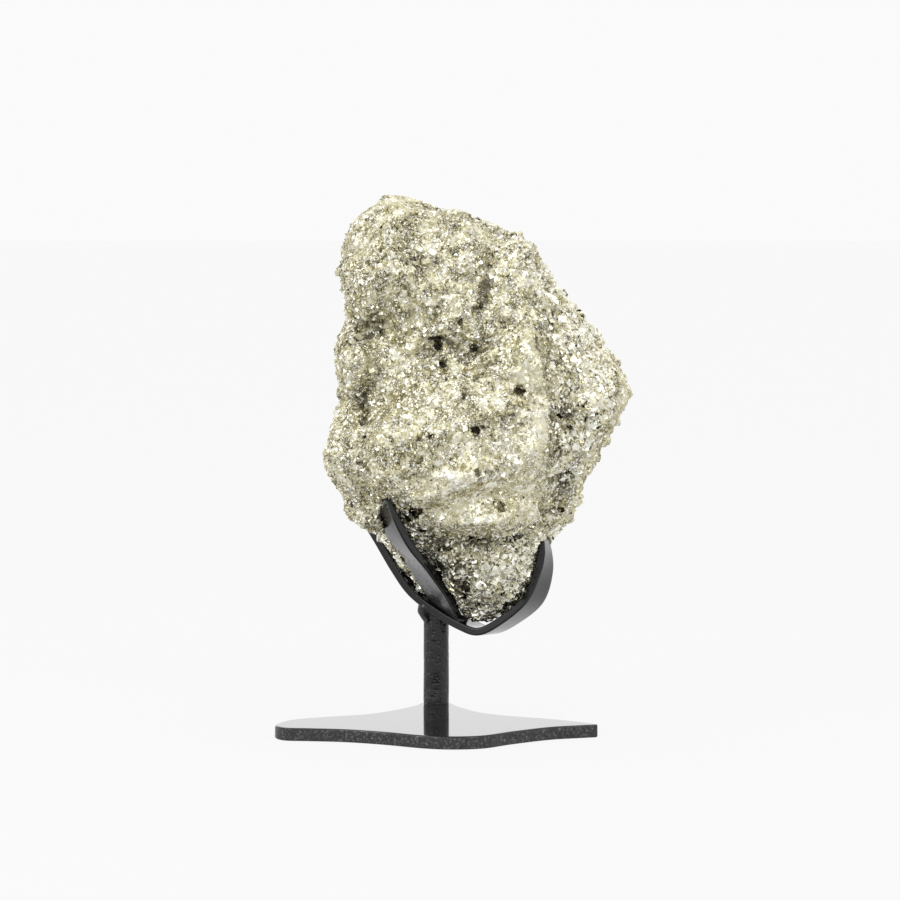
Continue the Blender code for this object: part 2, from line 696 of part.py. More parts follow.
def pyrite(parts, cutters, bars, bar_cutters, finish):
    """The crystalline mass, fused, weathered, pitted, seated in the stand and grown over."""
    made = put("pyrite", core_mesh(), parts, finish)
    fuse(made)
    hollow_out(made, cutters)
    fuse(made)
    weather(made)
    fewer = made.modifiers.new("facets", "DECIMATE")
    made.data.calc_loop_triangles()
    fewer.ratio = CORE_TRIANGLES / len(made.data.loop_triangles)
    settle(made)
    sink_pits(made, cutters)
    crystals = put_cutter("crystals", grow_crystals(made, bars), cutters)
    union = made.modifiers.new("crystals", "BOOLEAN")
    union.operation = "UNION"
    union.solver = "EXACT"
    union.use_self = True
    union.object = crystals
    settle(made)
    for cutter in bar_cutters:
        boolean(made, "DIFFERENCE", cutter)
    keep_largest(made)
    made.data.materials.clear()
    made.data.materials.append(finish)
    return made


def main():
    parts, cutters = start_scene()
    black = material("gloss_black_paint", (0.012, 0.012, 0.013), 0.0, 0.12)
    brassy = material("pyrite_crystal", (0.60, 0.57, 0.42), 1.0, 0.3)
    base_plate(parts, black)
    band = bar("cradle_band", band_lines(), parts, black)
    band_cutter = bar_cutter("band_cutter", band_lines(), GAP, cutters)
    post(parts, cutters, band_cutter, black)
    front = prong(parts, cutters, band_cutter, black)
    prong_cutter = bar_cutter("prong_cutter", prong_lines(), TWISTED_GAP, cutters)
    weld_cutter = weld_blob("prong_weld_cutter", PRONG_WELD, 2 * GAP, cutters)
    pyrite(parts, cutters, (band, front), (band_cutter, prong_cutter, weld_cutter), brassy)


main()
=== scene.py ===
# %% [markdown]
# # A pyrite specimen on a black welded stand
#
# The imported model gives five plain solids: the crystalline mass, the bent band and the
# prong that hold it, the post and the base plate. This lesson gives each one the surface
# that the real object has. The stand is gloss black paint over steel, so its bars are
# swept again with rounded edges. The mass is thousands of small metallic crystals, so it
# is grown again, grain by grain, on the solid's own shape.

# %% The frame
import itertools

import bmesh
import bpy
import numpy as np
from mathutils import Matrix, Vector
from mathutils.bvhtree import BVHTree


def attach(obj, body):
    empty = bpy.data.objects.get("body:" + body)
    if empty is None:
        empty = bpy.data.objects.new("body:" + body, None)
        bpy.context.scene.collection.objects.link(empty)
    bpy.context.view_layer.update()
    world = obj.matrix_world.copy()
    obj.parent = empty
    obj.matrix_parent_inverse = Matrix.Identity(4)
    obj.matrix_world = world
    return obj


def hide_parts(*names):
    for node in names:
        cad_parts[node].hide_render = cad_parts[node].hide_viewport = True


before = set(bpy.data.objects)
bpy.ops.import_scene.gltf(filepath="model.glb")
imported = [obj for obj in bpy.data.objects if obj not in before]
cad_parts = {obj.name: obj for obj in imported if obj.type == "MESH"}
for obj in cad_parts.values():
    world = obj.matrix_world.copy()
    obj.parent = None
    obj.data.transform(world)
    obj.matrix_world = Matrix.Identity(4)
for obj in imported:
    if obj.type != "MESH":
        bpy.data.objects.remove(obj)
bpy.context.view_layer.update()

MM = 0.001
print("nodes:", sorted(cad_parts))

# %% [markdown]
# ## Helpers
#
# Every new piece is a set of points and faces worked out as whole numpy arrays. One helper
# hands such arrays to Blender. Lengths are millimetres until then. A second helper gives
# random but repeatable heights anywhere in space, which a surface uses to look grown,
# poured or hammered. It could be Blender's own noise, but that takes one point at a time.

# %% Points and faces into a mesh
def make_piece(name, points, faces, finish, smooth=True, **point_values):
    """A mesh object from points in mm and arrays of faces, which may be of three or four
    corners. Each further keyword is a number for every point, stored under that name."""
    mesh = bpy.data.meshes.new(name)
    sizes = np.concatenate([np.full(len(group), group.shape[1]) for group in faces])
    corners = np.concatenate([group.ravel() for group in faces])
    mesh.vertices.add(len(points))
    mesh.vertices.foreach_set("co", (points * MM).astype(np.float32).ravel())
    mesh.loops.add(len(corners))
    mesh.loops.foreach_set("vertex_index", corners.astype(np.int32))
    mesh.polygons.add(len(sizes))
    starts = np.concatenate([[0], np.cumsum(sizes)[:-1]])
    mesh.polygons.foreach_set("loop_start", starts.astype(np.int32))
    mesh.update(calc_edges=True)
    for label, values in point_values.items():
        layer = mesh.attributes.new(label, "FLOAT", "POINT")
        layer.data.foreach_set("value", values.astype(np.float32))
    if smooth:
        mesh.shade_smooth()
    else:
        mesh.shade_flat()
    mesh.materials.append(finish)
    piece = bpy.data.objects.new(name, mesh)
    bpy.context.scene.collection.objects.link(piece)
    triangles = int((sizes - 2).sum())
    print(f"{name}: {len(points)} points, {triangles} triangles")
    return piece


# %% Repeatable noise
def lattice_values(cells, seed):
    """A number from -1 to 1 for each whole-number cell, by mixing the bits of its place."""
    mixed = cells.astype(np.int64) @ np.array([73856093, 19349663, 83492791]) + seed * 2654435761
    mixed = (mixed ^ (mixed >> 15)) * 2246822519 & 0xFFFFFFFF
    mixed = (mixed ^ (mixed >> 13)) * 3266489917 & 0xFFFFFFFF
    return ((mixed ^ (mixed >> 16)) & 0xFFFFFF) / 0x7FFFFF - 1.0


def noise_at(points, spacing, seed):
    """Smooth heights from -1 to 1: the eight nearest lattice values, each weighted by the
    eased distance to the opposite side of the cell."""
    scaled = points / spacing
    cells = np.floor(scaled).astype(np.int64)
    eased = scaled - cells
    eased = eased * eased * (3 - 2 * eased)
    height = np.zeros(len(points))
    for corner in itertools.product((0, 1), repeat=3):
        weight = np.where(corner, eased, 1 - eased).prod(axis=1)
        height += weight * lattice_values(cells + np.array(corner), seed)
    return height


def smooth_rows(rows, steps):
    """A Catmull-Rom curve through the rows: each span is the cubic whose slope at a row is
    half the step between its two neighbours."""
    rows = np.array(rows, float)
    padded = np.vstack([2 * rows[0] - rows[1], rows, 2 * rows[-1] - rows[-2]])
    at = np.linspace(0, len(rows) - 1, steps + 1)
    span = np.minimum(at.astype(int), len(rows) - 2)
    t = (at - span)[:, None]
    a, b, c, d = (padded[span + i] for i in range(4))
    return 0.5 * (2 * b + (c - a) * t + (2 * a - 5 * b + 4 * c - d) * t ** 2
                  + (3 * b - a - 3 * c + d) * t ** 3)


def unit(vectors):
    return vectors / np.linalg.norm(vectors, axis=-1, keepdims=True)


# %% [markdown]
# ## Camera, floor and light
#
# The specimen stands on a light table before a white wall, with large soft lights left,
# right and above. A narrow strip light on the left adds small hard glints between the
# broad soft ones. A pale floor that glows a little gives the even white surround and
# almost no shadow. The side that the camera stands on is darker, as in a real studio, and
# that is what gives the metal crystals their dark faces beside the bright ones.

# %% Camera
CAMERA_PLACE = (4.4, -1200.0, 181.6)
CAMERA_PITCH = 4.5  # degrees below level
camera = bpy.data.objects.new("studio_camera", bpy.data.cameras.new("studio_camera"))
camera.data.lens = 156.8
camera.data.sensor_width = 36.0
camera.data.clip_start = 0.05
camera.location = [value * MM for value in CAMERA_PLACE]
camera.rotation_euler = (np.radians(90 - CAMERA_PITCH), 0.0, 0.0)
bpy.context.scene.collection.objects.link(camera)
bpy.context.scene.camera = camera
bpy.context.scene.view_settings.view_transform = "Standard"
print("camera lens:", round(camera.data.lens, 1), "mm")


# %% Colours and nodes
def linear(code, alpha=1.0):
    """An sRGB hex colour as linear red, green and blue: each channel to the power 2.4
    after the standard offset, or divided by 12.92 where it is very dark."""
    values = np.array([int(code[i:i + 2], 16) for i in (1, 3, 5)]) / 255
    bright = ((values + 0.055) / 1.055) ** 2.4
    return (*np.where(values <= 0.04045, values / 12.92, bright), alpha)


def add(tree, kind, inputs=(), stops=(), **settings):
    """Adds a node, gives it its settings, and fills or links its sockets. Sockets that
    share a name are named by number. A colour ramp takes (position, hex colour) stops."""
    node = tree.nodes.new(kind)
    for name, value in settings.items():
        setattr(node, name, value)
    for i, (position, code) in enumerate(stops):
        elements = node.color_ramp.elements
        element = elements[i] if i < len(elements) else elements.new(1.0)
        element.position = position
        element.color = linear(code)
    for socket, value in inputs:
        if isinstance(value, bpy.types.NodeSocket):
            tree.links.new(value, node.inputs[socket])
        else:
            node.inputs[socket].default_value = value
    return node


def new_material(name):
    """An empty material with a Principled shader, as (material, tree, shader)."""
    made = bpy.data.materials.new(name)
    made.use_nodes = True
    tree = made.node_tree
    tree.nodes.clear()
    shader = add(tree, "ShaderNodeBsdfPrincipled")
    add(tree, "ShaderNodeOutputMaterial", [("Surface", shader.outputs["BSDF"])])
    return made, tree, shader


# %% The studio's surround
WALL_WHITE = 0.957
world = bpy.data.worlds.new("studio")
bpy.context.scene.world = world
world.use_nodes = True
tree = world.node_tree
tree.nodes.clear()
direction = add(tree, "ShaderNodeTexCoord").outputs["Generated"]
split = add(tree, "ShaderNodeSeparateXYZ", [("Vector", direction)])
wall = add(tree, "ShaderNodeMapRange", [
    ("Value", split.outputs["Y"]), ("From Min", 0.70), ("From Max", 0.98),
    ("To Min", 1.05), ("To Max", 1.60)], interpolation_type="SMOOTHSTEP").outputs["Result"]
height = add(tree, "ShaderNodeMath", [(0, split.outputs["Z"]), (1, 0.5), (2, 0.5)],
             operation="MULTIPLY_ADD").outputs[0]
below = add(tree, "ShaderNodeValToRGB", [("Fac", height)], stops=(
    (0.20, "#F0F0F0"), (0.34, "#CFCFCF"), (0.43, "#CFCFCF"), (0.50, "#FFFFFF"))).outputs["Color"]
glow = add(tree, "ShaderNodeMath", [(0, wall), (1, below)], operation="MULTIPLY").outputs["Value"]
around = add(tree, "ShaderNodeBackground", [("Color", glow)])
backdrop = add(tree, "ShaderNodeBackground", [("Color", (WALL_WHITE, WALL_WHITE, WALL_WHITE, 1.0))])
seen = add(tree, "ShaderNodeLightPath").outputs["Is Camera Ray"]
mixed = add(tree, "ShaderNodeMixShader", [
    ("Fac", seen), (1, around.outputs["Background"]), (2, backdrop.outputs["Background"])])
add(tree, "ShaderNodeOutputWorld", [("Surface", mixed.outputs["Shader"])])


# %% Floor and lights
def softbox(name, place, target, size, power):
    """A square area light at a place in mm, facing a target."""
    light = bpy.data.lights.new(name, "AREA")
    light.shape = "RECTANGLE"
    light.size, light.size_y = [value * MM for value in size]
    light.energy = power
    lamp = bpy.data.objects.new(name, light)
    place, target = np.array(place) * MM, np.array(target) * MM
    back = unit(place - target)
    side = unit(np.cross((0.0, 0.0, 1.0), back))
    turn = np.stack([side, np.cross(back, side), back], axis=1)
    lamp.matrix_world = Matrix.Translation(place) @ Matrix(turn.tolist()).to_4x4()
    bpy.context.scene.collection.objects.link(lamp)
    return lamp


MIDDLE = (8.0, 5.0, 90.0)
softbox("key_left", (-620.0, -520.0, 560.0), MIDDLE, (520.0, 620.0), 1.7)
softbox("fill_right", (460.0, -640.0, 660.0), MIDDLE, (300.0, 500.0), 1.4)
softbox("overhead", (0.0, 60.0, 900.0), MIDDLE, (900.0, 700.0), 0.4)
softbox("strip_left", (-640.0, -420.0, 420.0), MIDDLE, (40.0, 420.0), 0.45)

FLOOR_HALF = 6000.0
floor_paper, tree, shader = new_material("white_light_table")
shader.inputs["Base Color"].default_value = linear("#404040")
shader.inputs["Roughness"].default_value = 0.9
shader.inputs["Specular IOR Level"].default_value = 0.0
shader.inputs["Emission Color"].default_value = (1.0, 1.0, 1.0, 1.0)
shader.inputs["Emission Strength"].default_value = 0.885
square = np.array([(-1, -1, 0), (1, -1, 0), (1, 1, 0), (-1, 1, 0)], float) * FLOOR_HALF
floor = make_piece("studio_floor", square, [np.array([[0, 1, 2, 3]])], floor_paper)
floor.visible_glossy = floor.visible_diffuse = False

# %% [markdown]
# ## Black enamel
#
# The stand is mild steel, cut, bent and welded, then sprayed with gloss black enamel.
# Enamel is a dielectric: almost all that the eye sees is the reflection on it, so the
# plate turns white where it mirrors the wall at a low angle and stays black where the
# view is straight on. Sprayed paint is never quite flat. Orange peel about a millimetre
# across bends its reflections, and on the rough bar it leaves small pits.

# %% Enamel
def black_enamel(name, colour, roughness, peel, pits, cut_edge=None):
    """Gloss paint: peel and pits are the depths, in mm, of the two patterns. Cut edge is
    the colour where the sprayed coat is thin, on the upright sides of a cut plate."""
    made, tree, shader = new_material(name)
    place = add(tree, "ShaderNodeTexCoord").outputs["Object"]
    blotches = add(tree, "ShaderNodeTexNoise", [
        ("Vector", place), ("Scale", 1 / (5 * MM)), ("Detail", 4.0)])
    shader.inputs["Base Color"].default_value = linear(colour)
    shader.inputs["IOR"].default_value = 1.5
    gloss = add(tree, "ShaderNodeMapRange", [
        ("Value", blotches.outputs["Fac"]), ("From Min", 0.35), ("From Max", 0.7),
        ("To Min", roughness[0]), ("To Max", roughness[1])]).outputs["Result"]
    if cut_edge:
        facing = add(tree, "ShaderNodeNewGeometry").outputs["Normal"]
        upright = add(tree, "ShaderNodeSeparateXYZ", [("Vector", facing)]).outputs["Z"]
        upright = add(tree, "ShaderNodeMath", [(0, upright)], operation="ABSOLUTE").outputs[0]
        side = add(tree, "ShaderNodeMapRange", [
            ("Value", upright), ("From Min", 0.15), ("From Max", 0.5),
            ("To Min", 1.0), ("To Max", 0.0)]).outputs["Result"]
        grit = add(tree, "ShaderNodeTexNoise", [
            ("Vector", place), ("Scale", 1 / (0.7 * MM)), ("Detail", 3.0)]).outputs["Fac"]
        thin = add(tree, "ShaderNodeValToRGB", [("Fac", grit)], stops=cut_edge).outputs["Color"]
        coat = add(tree, "ShaderNodeMix", [("Factor", side), (6, linear(colour)), (7, thin)],
                   data_type="RGBA").outputs[2]
        tree.links.new(coat, shader.inputs["Base Color"])
        gloss = add(tree, "ShaderNodeMath", [(0, side), (1, 0.3), (2, gloss)],
                    operation="MULTIPLY_ADD").outputs[0]
    tree.links.new(gloss, shader.inputs["Roughness"])
    orange = add(tree, "ShaderNodeTexNoise", [
        ("Vector", place), ("Scale", 1 / (1.3 * MM)), ("Detail", 2.0)])
    skin = add(tree, "ShaderNodeBump", [
        ("Height", orange.outputs["Fac"]), ("Distance", peel * MM), ("Strength", 1.0)])
    dents = add(tree, "ShaderNodeTexVoronoi", [
        ("Vector", place), ("Scale", 1 / (1.6 * MM)), ("Randomness", 1.0)])
    dents = add(tree, "ShaderNodeMapRange", [
        ("Value", dents.outputs["Distance"]), ("From Min", 0.10), ("From Max", 0.30)])
    pitted = add(tree, "ShaderNodeBump", [
        ("Height", dents.outputs["Result"]), ("Distance", pits * MM), ("Strength", 1.0),
        ("Normal", skin.outputs["Normal"])])
    tree.links.new(pitted.outputs["Normal"], shader.inputs["Normal"])
    return made


CUT_EDGE = ((0.35, "#1C1C1E"), (0.55, "#303032"), (0.72, "#6A6A6C"))
plate_enamel = black_enamel("black_enamel_on_plate", "#151517", (0.04, 0.07), 0.002, 0.0, CUT_EDGE)
bar_enamel = black_enamel("black_enamel_on_bars", "#1A1A1C", (0.10, 0.22), 0.02, 0.03)
post_enamel = black_enamel("black_enamel_on_post", "#1A1A1C", (0.14, 0.34), 0.05, 0.12)

# %% [markdown]
# ## Base plate
#
# A 4 mm plate cut to a wavy outline with four lobes, its edges just broken by a file. It
# could be a bezier outline with an extrude and a bevel. Here it is one surface of two
# parameters, the way round the outline and the way over its section, because then the
# edge rounding is exactly as fine as the reflection on it needs.

# %% Plate
PLATE_THICKNESS = 4.0
PLATE_OUTLINE = (
    (-49.0, -12.0), (-46.4, -18.9), (-38.0, -20.5), (-27.0, -22.6), (-15.0, -28.0),
    (-4.5, -34.4), (4.4, -37.0), (14.5, -35.0), (23.5, -26.6), (35.0, -17.8),
    (45.5, -13.8), (49.5, -11.9), (45.0, -7.0), (36.0, -0.5), (23.5, 5.9),
    (14.0, 13.5), (7.2, 26.5), (3.6, 36.0), (-3.6, 36.0), (-7.0, 28.2),
    (-13.0, 18.9), (-21.5, 9.9), (-34.0, 4.2), (-44.5, -2.0),
)


def tube_faces(rows, columns):
    """Four-sided faces of a grid of points, row after row, whose columns close up."""
    at = np.arange(rows * columns).reshape(rows, columns)
    right = np.roll(at, -1, axis=1)
    return np.stack([at[:-1], right[:-1], right[1:], at[1:]], axis=-1).reshape(-1, 4)


def closed_ends(rows, columns):
    """Three-sided faces from the first and last row to one point each, listed after them."""
    first, low = np.arange(columns), rows * columns
    last = first + (rows - 1) * columns
    start = np.stack([np.full(columns, low), np.roll(first, -1), first], axis=1)
    end = np.stack([np.full(columns, low + 1), last, np.roll(last, -1)], axis=1)
    return np.vstack([start, end])


def plate_piece():
    """Each ring is the outline moved in by an inset: round a quarter circle, up the side and
    round again. The flat faces are the first and the last ring shrunk towards the middle."""
    corners = np.array(PLATE_OUTLINE)
    wrapped = np.vstack([corners[-2:], corners, corners[:3]])
    outline = smooth_rows(wrapped, 12 * (len(wrapped) - 1))[24:24 + 12 * len(corners)]
    tangent = np.roll(outline, -1, axis=0) - np.roll(outline, 1, axis=0)
    outward = unit(np.stack([tangent[:, 1], -tangent[:, 0]], axis=1))
    broken = 0.45
    quarter = np.radians([0, 22, 45, 68, 90])
    inset = np.concatenate([broken * (1 - np.sin(quarter)), [0.0, 0.0], broken * (1 - np.cos(quarter))])
    height = np.concatenate([broken * (1 - np.cos(quarter)), [0.9, PLATE_THICKNESS - 0.9],
                             PLATE_THICKNESS - broken * (1 - np.sin(quarter))])
    rings = outline[None] - inset[:, None, None] * outward[None]
    shares = np.array([0.3, 0.6, 0.85, 0.97, 0.985])
    low = rings[0] * shares[:, None, None]
    high = rings[-1] * shares[::-1, None, None]
    rings = np.concatenate([low, rings, high])
    height = np.concatenate([[0.0] * len(shares), height, [PLATE_THICKNESS] * len(shares)])
    points = np.dstack([rings, np.broadcast_to(height[:, None], rings.shape[:2])])
    poles = np.array([[0.0, 0.0, 0.0], [0.0, 0.0, PLATE_THICKNESS]])
    faces = [tube_faces(*points.shape[:2]), closed_ends(*points.shape[:2])]
    return make_piece("plate_surface", np.vstack([points.reshape(-1, 3), poles]), faces, plate_enamel)


plate = plate_piece()
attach(plate, "root")
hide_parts("base_plate")

# %% [markdown]
# ## Cradle band and front prong
#
# Both are 12 by 2.5 mm flat bar, bent cold. Their free ends are ground to a taper in width
# and, over the last 7 mm, in thickness, so that they lie close to the stone. A curve with
# a bevel profile would make them, but it can't taper one edge and lean the other. So each
# is a section carried along a path: the path gives the front edge, the direction across
# the bar and its width, and the section is a rectangle with rounded corners. Two extra
# lines beside each corner keep the flat faces flat in the reflection.

# %% Swept bars
BAR_THICKNESS = 2.5
BAR_WIDTH = 12.0
CORNER = 0.5
GROUND_LENGTH = 7.0
GROUND_THIN = 0.35  # of the thickness is left at a ground end
SECTION_REACH = 1.05  # the half thickness that a full corner and its extra line need
HAMMERED = 0.12
POST_Y = 32.8
BAND_TURN = np.radians(25.0)  # the band's plane, turned about the post
BAND_ALONG = np.array([np.cos(BAND_TURN), -np.sin(BAND_TURN), 0.0])
BAND_ACROSS = np.array([np.sin(BAND_TURN), np.cos(BAND_TURN), 0.0])
# Distance along the band's plane, height, width, lean to the right, lean down
BAND_EDGE = (
    (-25.0, 66.5, 4.0, 0.00, 0.00), (-22.7, 62.8, 8.5, 0.00, 0.00),
    (-18.9, 57.0, 12.0, 0.00, 0.00), (-11.9, 46.6, 12.0, 0.00, 0.00),
    (-6.1, 39.4, 12.0, 0.00, 0.00), (2.0, 34.1, 12.0, 0.00, 0.00),
    (10.5, 30.0, 12.0, 0.00, -0.04), (17.3, 28.5, 12.0, 0.00, -0.07),
    (24.8, 32.3, 12.0, 0.03, -0.10), (33.0, 39.2, 12.0, 0.05, -0.12),
    (37.3, 47.7, 12.0, -0.05, -0.06), (38.8, 54.5, 9.5, -0.16, 0.00),
    (39.0, 61.2, 2.6, -0.20, 0.00),
)
# Place of the front edge, rough direction across, width
PRONG_EDGE = (
    (8.1, 24.0, 31.0, -0.55, 0.80, 0.05, 8.5), (6.6, 21.5, 34.6, -0.60, 0.78, 0.05, 10.5),
    (3.6, 16.5, 40.9, -0.60, 0.79, 0.08, 12.0), (-1.5, 9.0, 49.0, -0.54, 0.83, 0.12, 12.0),
    (-6.9, 1.5, 56.5, -0.53, 0.80, 0.17, 12.0), (-10.2, -3.5, 62.7, -0.55, 0.80, 0.18, 9.5),
    (-13.2, -8.5, 70.0, -0.55, 0.80, 0.20, 4.4), (-14.4, -10.5, 72.5, -0.55, 0.80, 0.20, 1.8),
)


def band_path(steps):
    along, up, width, lean, drop = smooth_rows(BAND_EDGE, steps).T[:, :, None]
    start = np.array([0.0, POST_Y, 0.0]) - BAND_ACROSS * BAR_WIDTH / 2
    upward = np.array([0.0, 0.0, 1.0])
    edge = start + BAND_ALONG * along + upward * up
    return edge, unit(BAND_ACROSS + BAND_ALONG * lean + upward * drop), width[:, 0]


def prong_path(steps):
    rows = smooth_rows(PRONG_EDGE, steps)
    edge, across = rows[:, :3], rows[:, 3:6]
    along = unit(np.gradient(edge, axis=0))
    return edge, unit(across - along * (across * along).sum(axis=1, keepdims=True)), rows[:, 6]


def bar_section():
    """The rounded rectangle, point by point: which side of the middle each one is on, and
    how far from that side's corner it lies."""
    turn = np.radians([0, 22.5, 45, 67.5, 90])
    quarter = np.stack([np.cos(turn) - 1, np.sin(turn) - 1], axis=1) * CORNER
    quarter = np.vstack([[0.0, -CORNER - 0.2], quarter, [-CORNER - 0.5, 0.0]])
    sides, offsets = [], []
    for u, v in ((1, 1), (-1, 1), (-1, -1), (1, -1)):
        part = quarter if u == v else quarter[::-1]
        sides.append(np.broadcast_to([u, v], part.shape))
        offsets.append(part * [u, v])
    return np.vstack(sides), np.vstack(offsets)


def bar_points(path, ground):
    """Middle of the bar plus the section's share across and through it, with the faces
    shifted by slow noise. The ends close by a quarter circle. Ground says for the start
    and the end whether it is ground thin there."""
    edge, across, widths = path
    along = unit(np.gradient(edge, axis=0))
    through = unit(np.cross(along, across))
    middle = edge + across * widths[:, None] / 2
    sides, offsets = bar_section()
    run = np.concatenate([[0.0], np.cumsum(np.linalg.norm(np.diff(edge, axis=0), axis=1))])
    thick = np.ones(len(run))
    for is_ground, to_end in zip(ground, (run, run[-1] - run)):
        if is_ground:
            thick = np.minimum(thick, GROUND_THIN + (1 - GROUND_THIN) * to_end / GROUND_LENGTH)
    half = np.stack([widths / 2, BAR_THICKNESS / 2 * thick], axis=1)
    turn = np.radians([90, 60, 30])
    still = np.zeros(len(widths))
    reach = np.concatenate([-CORNER * np.sin(turn), still, CORNER * np.sin(turn[::-1])])
    inset = np.concatenate([CORNER * (1 - np.cos(turn)), still, CORNER * (1 - np.cos(turn[::-1]))])
    row = np.concatenate([[0] * 3, np.arange(len(widths)), [len(widths) - 1] * 3])
    fit = np.minimum(1.0, half[row].min(axis=1) / SECTION_REACH)
    spread = sides * (half[row] - (inset * fit)[:, None])[:, None] + offsets * fit[:, None, None]
    centre = middle[row] + along[row] * (reach * fit)[:, None]
    points = (centre[:, None] + across[row][:, None] * spread[..., :1]
              + through[row][:, None] * spread[..., 1:])
    shape = points.shape
    flat = points.reshape(-1, 3)
    flat = flat + HAMMERED * np.repeat(through[row], shape[1], axis=0) * noise_at(flat, 9.0, 5)[:, None]
    return flat, shape[0], shape[1], np.stack([centre[0], centre[-1]])


def bar_piece(name, path, ground):
    points, rows, columns, poles = bar_points(path, ground)
    faces = [tube_faces(rows, columns), closed_ends(rows, columns)]
    piece = make_piece(name, np.vstack([points, poles]), faces, bar_enamel)
    return piece, points


band, band_points = bar_piece("band_surface", band_path(180), (True, True))
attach(band, "root")
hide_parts("cradle_band")
prong, prong_points = bar_piece("prong_surface", prong_path(140), (False, True))
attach(prong, "root")
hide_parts("front_prong")

# %% [markdown]
# ## Post and weld beads
#
# An 8 mm round bar, sawn at the top to the slant of the band and welded to it. The paint
# ran a little down it and pits show through. It is a turned grid, angle by height, whose
# radius changes with noise. The beads are lumps of melted steel: spheres with ripples.

# %% Post
POST_RADIUS = 4.0
WELD_BEADS = (
    ((-2.7, 31.2, 34.6), (3.1, 3.4, 4.6)), ((-1.4, 35.2, 34.2), (3.2, 2.8, 3.2)),
    ((1.8, 31.2, 32.2), (2.8, 3.2, 2.2)),
)
PRONG_WELD = (((8.0, 25.6, 31.6), (2.2, 3.2, 1.6)),)


def post_piece():
    """Round bar: every ring is at the same share of the way from the plate to the band's
    slanted underside, which is read off the band's path at that ring's own places."""
    angle = np.linspace(0, 2 * np.pi, 96, endpoint=False)
    share = np.linspace(0, 1, 150)[:, None]
    x, y = POST_RADIUS * np.cos(angle), POST_RADIUS * np.sin(angle)
    along = x * BAND_ALONG[0] + y * BAND_ALONG[1]
    rows = smooth_rows(BAND_EDGE, 200)
    top = np.interp(along, rows[:, 0], rows[:, 1]) - BAR_THICKNESS / 2 * 1.19
    z = PLATE_THICKNESS - 0.1 + share * (top - PLATE_THICKNESS + 0.1)
    place = np.stack([np.broadcast_to(x, z.shape), np.broadcast_to(y + POST_Y, z.shape), z], axis=-1)
    flat = place.reshape(-1, 3)
    drips = noise_at(flat * [1, 1, 0.35], 1.7, 11) * 0.07 + noise_at(flat, 5.0, 12) * 0.10
    pits = np.clip(noise_at(flat, 1.1, 13) - 0.45, 0, 1) * 0.45
    outward = np.tile(np.stack([np.cos(angle), np.sin(angle), 0 * angle], axis=1), (len(share), 1))
    points = flat + outward * (drips - pits)[:, None]
    poles = np.array([[0.0, POST_Y, PLATE_THICKNESS - 0.1], [0.0, POST_Y, top.mean()]])
    faces = [tube_faces(len(share), len(angle)), closed_ends(len(share), len(angle))]
    return make_piece("post_surface", np.vstack([points, poles]), faces, post_enamel)


def bead_piece(name, beads):
    """Spheres by latitude and longitude, stretched to their radii and rippled by noise."""
    turn = np.linspace(0, 2 * np.pi, 40, endpoint=False)
    tilt = np.linspace(0, np.pi, 22)[1:-1, None]
    ball = np.stack([np.sin(tilt) * np.cos(turn), np.sin(tilt) * np.sin(turn),
                     np.cos(tilt) * np.ones_like(turn)], axis=-1).reshape(-1, 3)
    ball = np.vstack([ball, [[0, 0, 1], [0, 0, -1]]])
    points, quads, ends = [], [], []
    for i, (centre, radii) in enumerate(beads):
        placed = np.array(centre) + ball * radii
        swell = 1 + 0.10 * noise_at(placed, 1.6, 21) + 0.10 * noise_at(placed, 3.5, 22)
        points.append(np.array(centre) + ball * radii * swell[:, None])
        quads.append(tube_faces(len(tilt), len(turn))[:, ::-1] + i * len(ball))
        ends.append(closed_ends(len(tilt), len(turn))[:, ::-1] + i * len(ball))
    return make_piece(name, np.vstack(points), [np.vstack(quads), np.vstack(ends)], bar_enamel)


post = post_piece()
post_beads = bead_piece("post_weld_beads", WELD_BEADS)
for piece in (post, post_beads):
    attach(piece, "root")
    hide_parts("post")
prong_bead = bead_piece("prong_weld_bead", PRONG_WELD)
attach(prong_bead, "root")
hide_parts("front_prong")

# %% [markdown]
# ## The skin of the mass
#
# Pyrite grows as cubes, but this mass is a druse: a lumpy body, all of it crystals grown
# into each other, with dark gaps between them. Its body has overhangs and clefts, so no
# height map or bent sphere would do. The solid's own shape is taken instead, a copy of it
# cut into even cells 0.72 mm across. That skin is eased, roughened with noise and pitted
# where the mass is open to its inside. It shows between the crystals, and most on the
# smooth fine-grained places, where few of them stand out.

# %% Even cells
SKIN_CELL = 0.72


def even_cells(node, cell):
    """Points in mm and four-sided faces of the solid remeshed to even cells, always in the
    same order: the points by height, then depth, then width."""
    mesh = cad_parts[node].data.copy()
    bm = bmesh.new()
    bm.from_mesh(mesh)
    bmesh.ops.remove_doubles(bm, verts=bm.verts, dist=1e-6)
    bm.to_mesh(mesh)
    bm.free()
    rough = bpy.data.objects.new("rough_mass", mesh)
    bpy.context.scene.collection.objects.link(rough)
    remesh = rough.modifiers.new("even cells", "REMESH")
    remesh.mode = "VOXEL"
    remesh.voxel_size = cell * MM
    bpy.context.view_layer.update()
    even = rough.evaluated_get(bpy.context.evaluated_depsgraph_get()).to_mesh()
    points = np.empty(len(even.vertices) * 3, np.float32)
    even.vertices.foreach_get("co", points)
    quads = np.empty(len(even.loops), np.int32)
    even.loops.foreach_get("vertex_index", quads)
    bpy.data.objects.remove(rough)
    points, quads = points.reshape(-1, 3) / MM, quads.reshape(-1, 4)
    order = np.lexsort(points.T)
    rank = np.empty(len(order), np.int64)
    rank[order] = np.arange(len(order))
    quads = rank[quads]
    first = quads.argmin(axis=1)
    quads = quads[np.arange(len(quads))[:, None], (first[:, None] + np.arange(4)) % 4]
    return points[order].astype(float), quads[np.lexsort(quads.T[::-1])]


def summed(index, values, length):
    """Adds up the rows of values that share an index."""
    return np.stack([np.bincount(index, column, length) for column in values.T], axis=1)


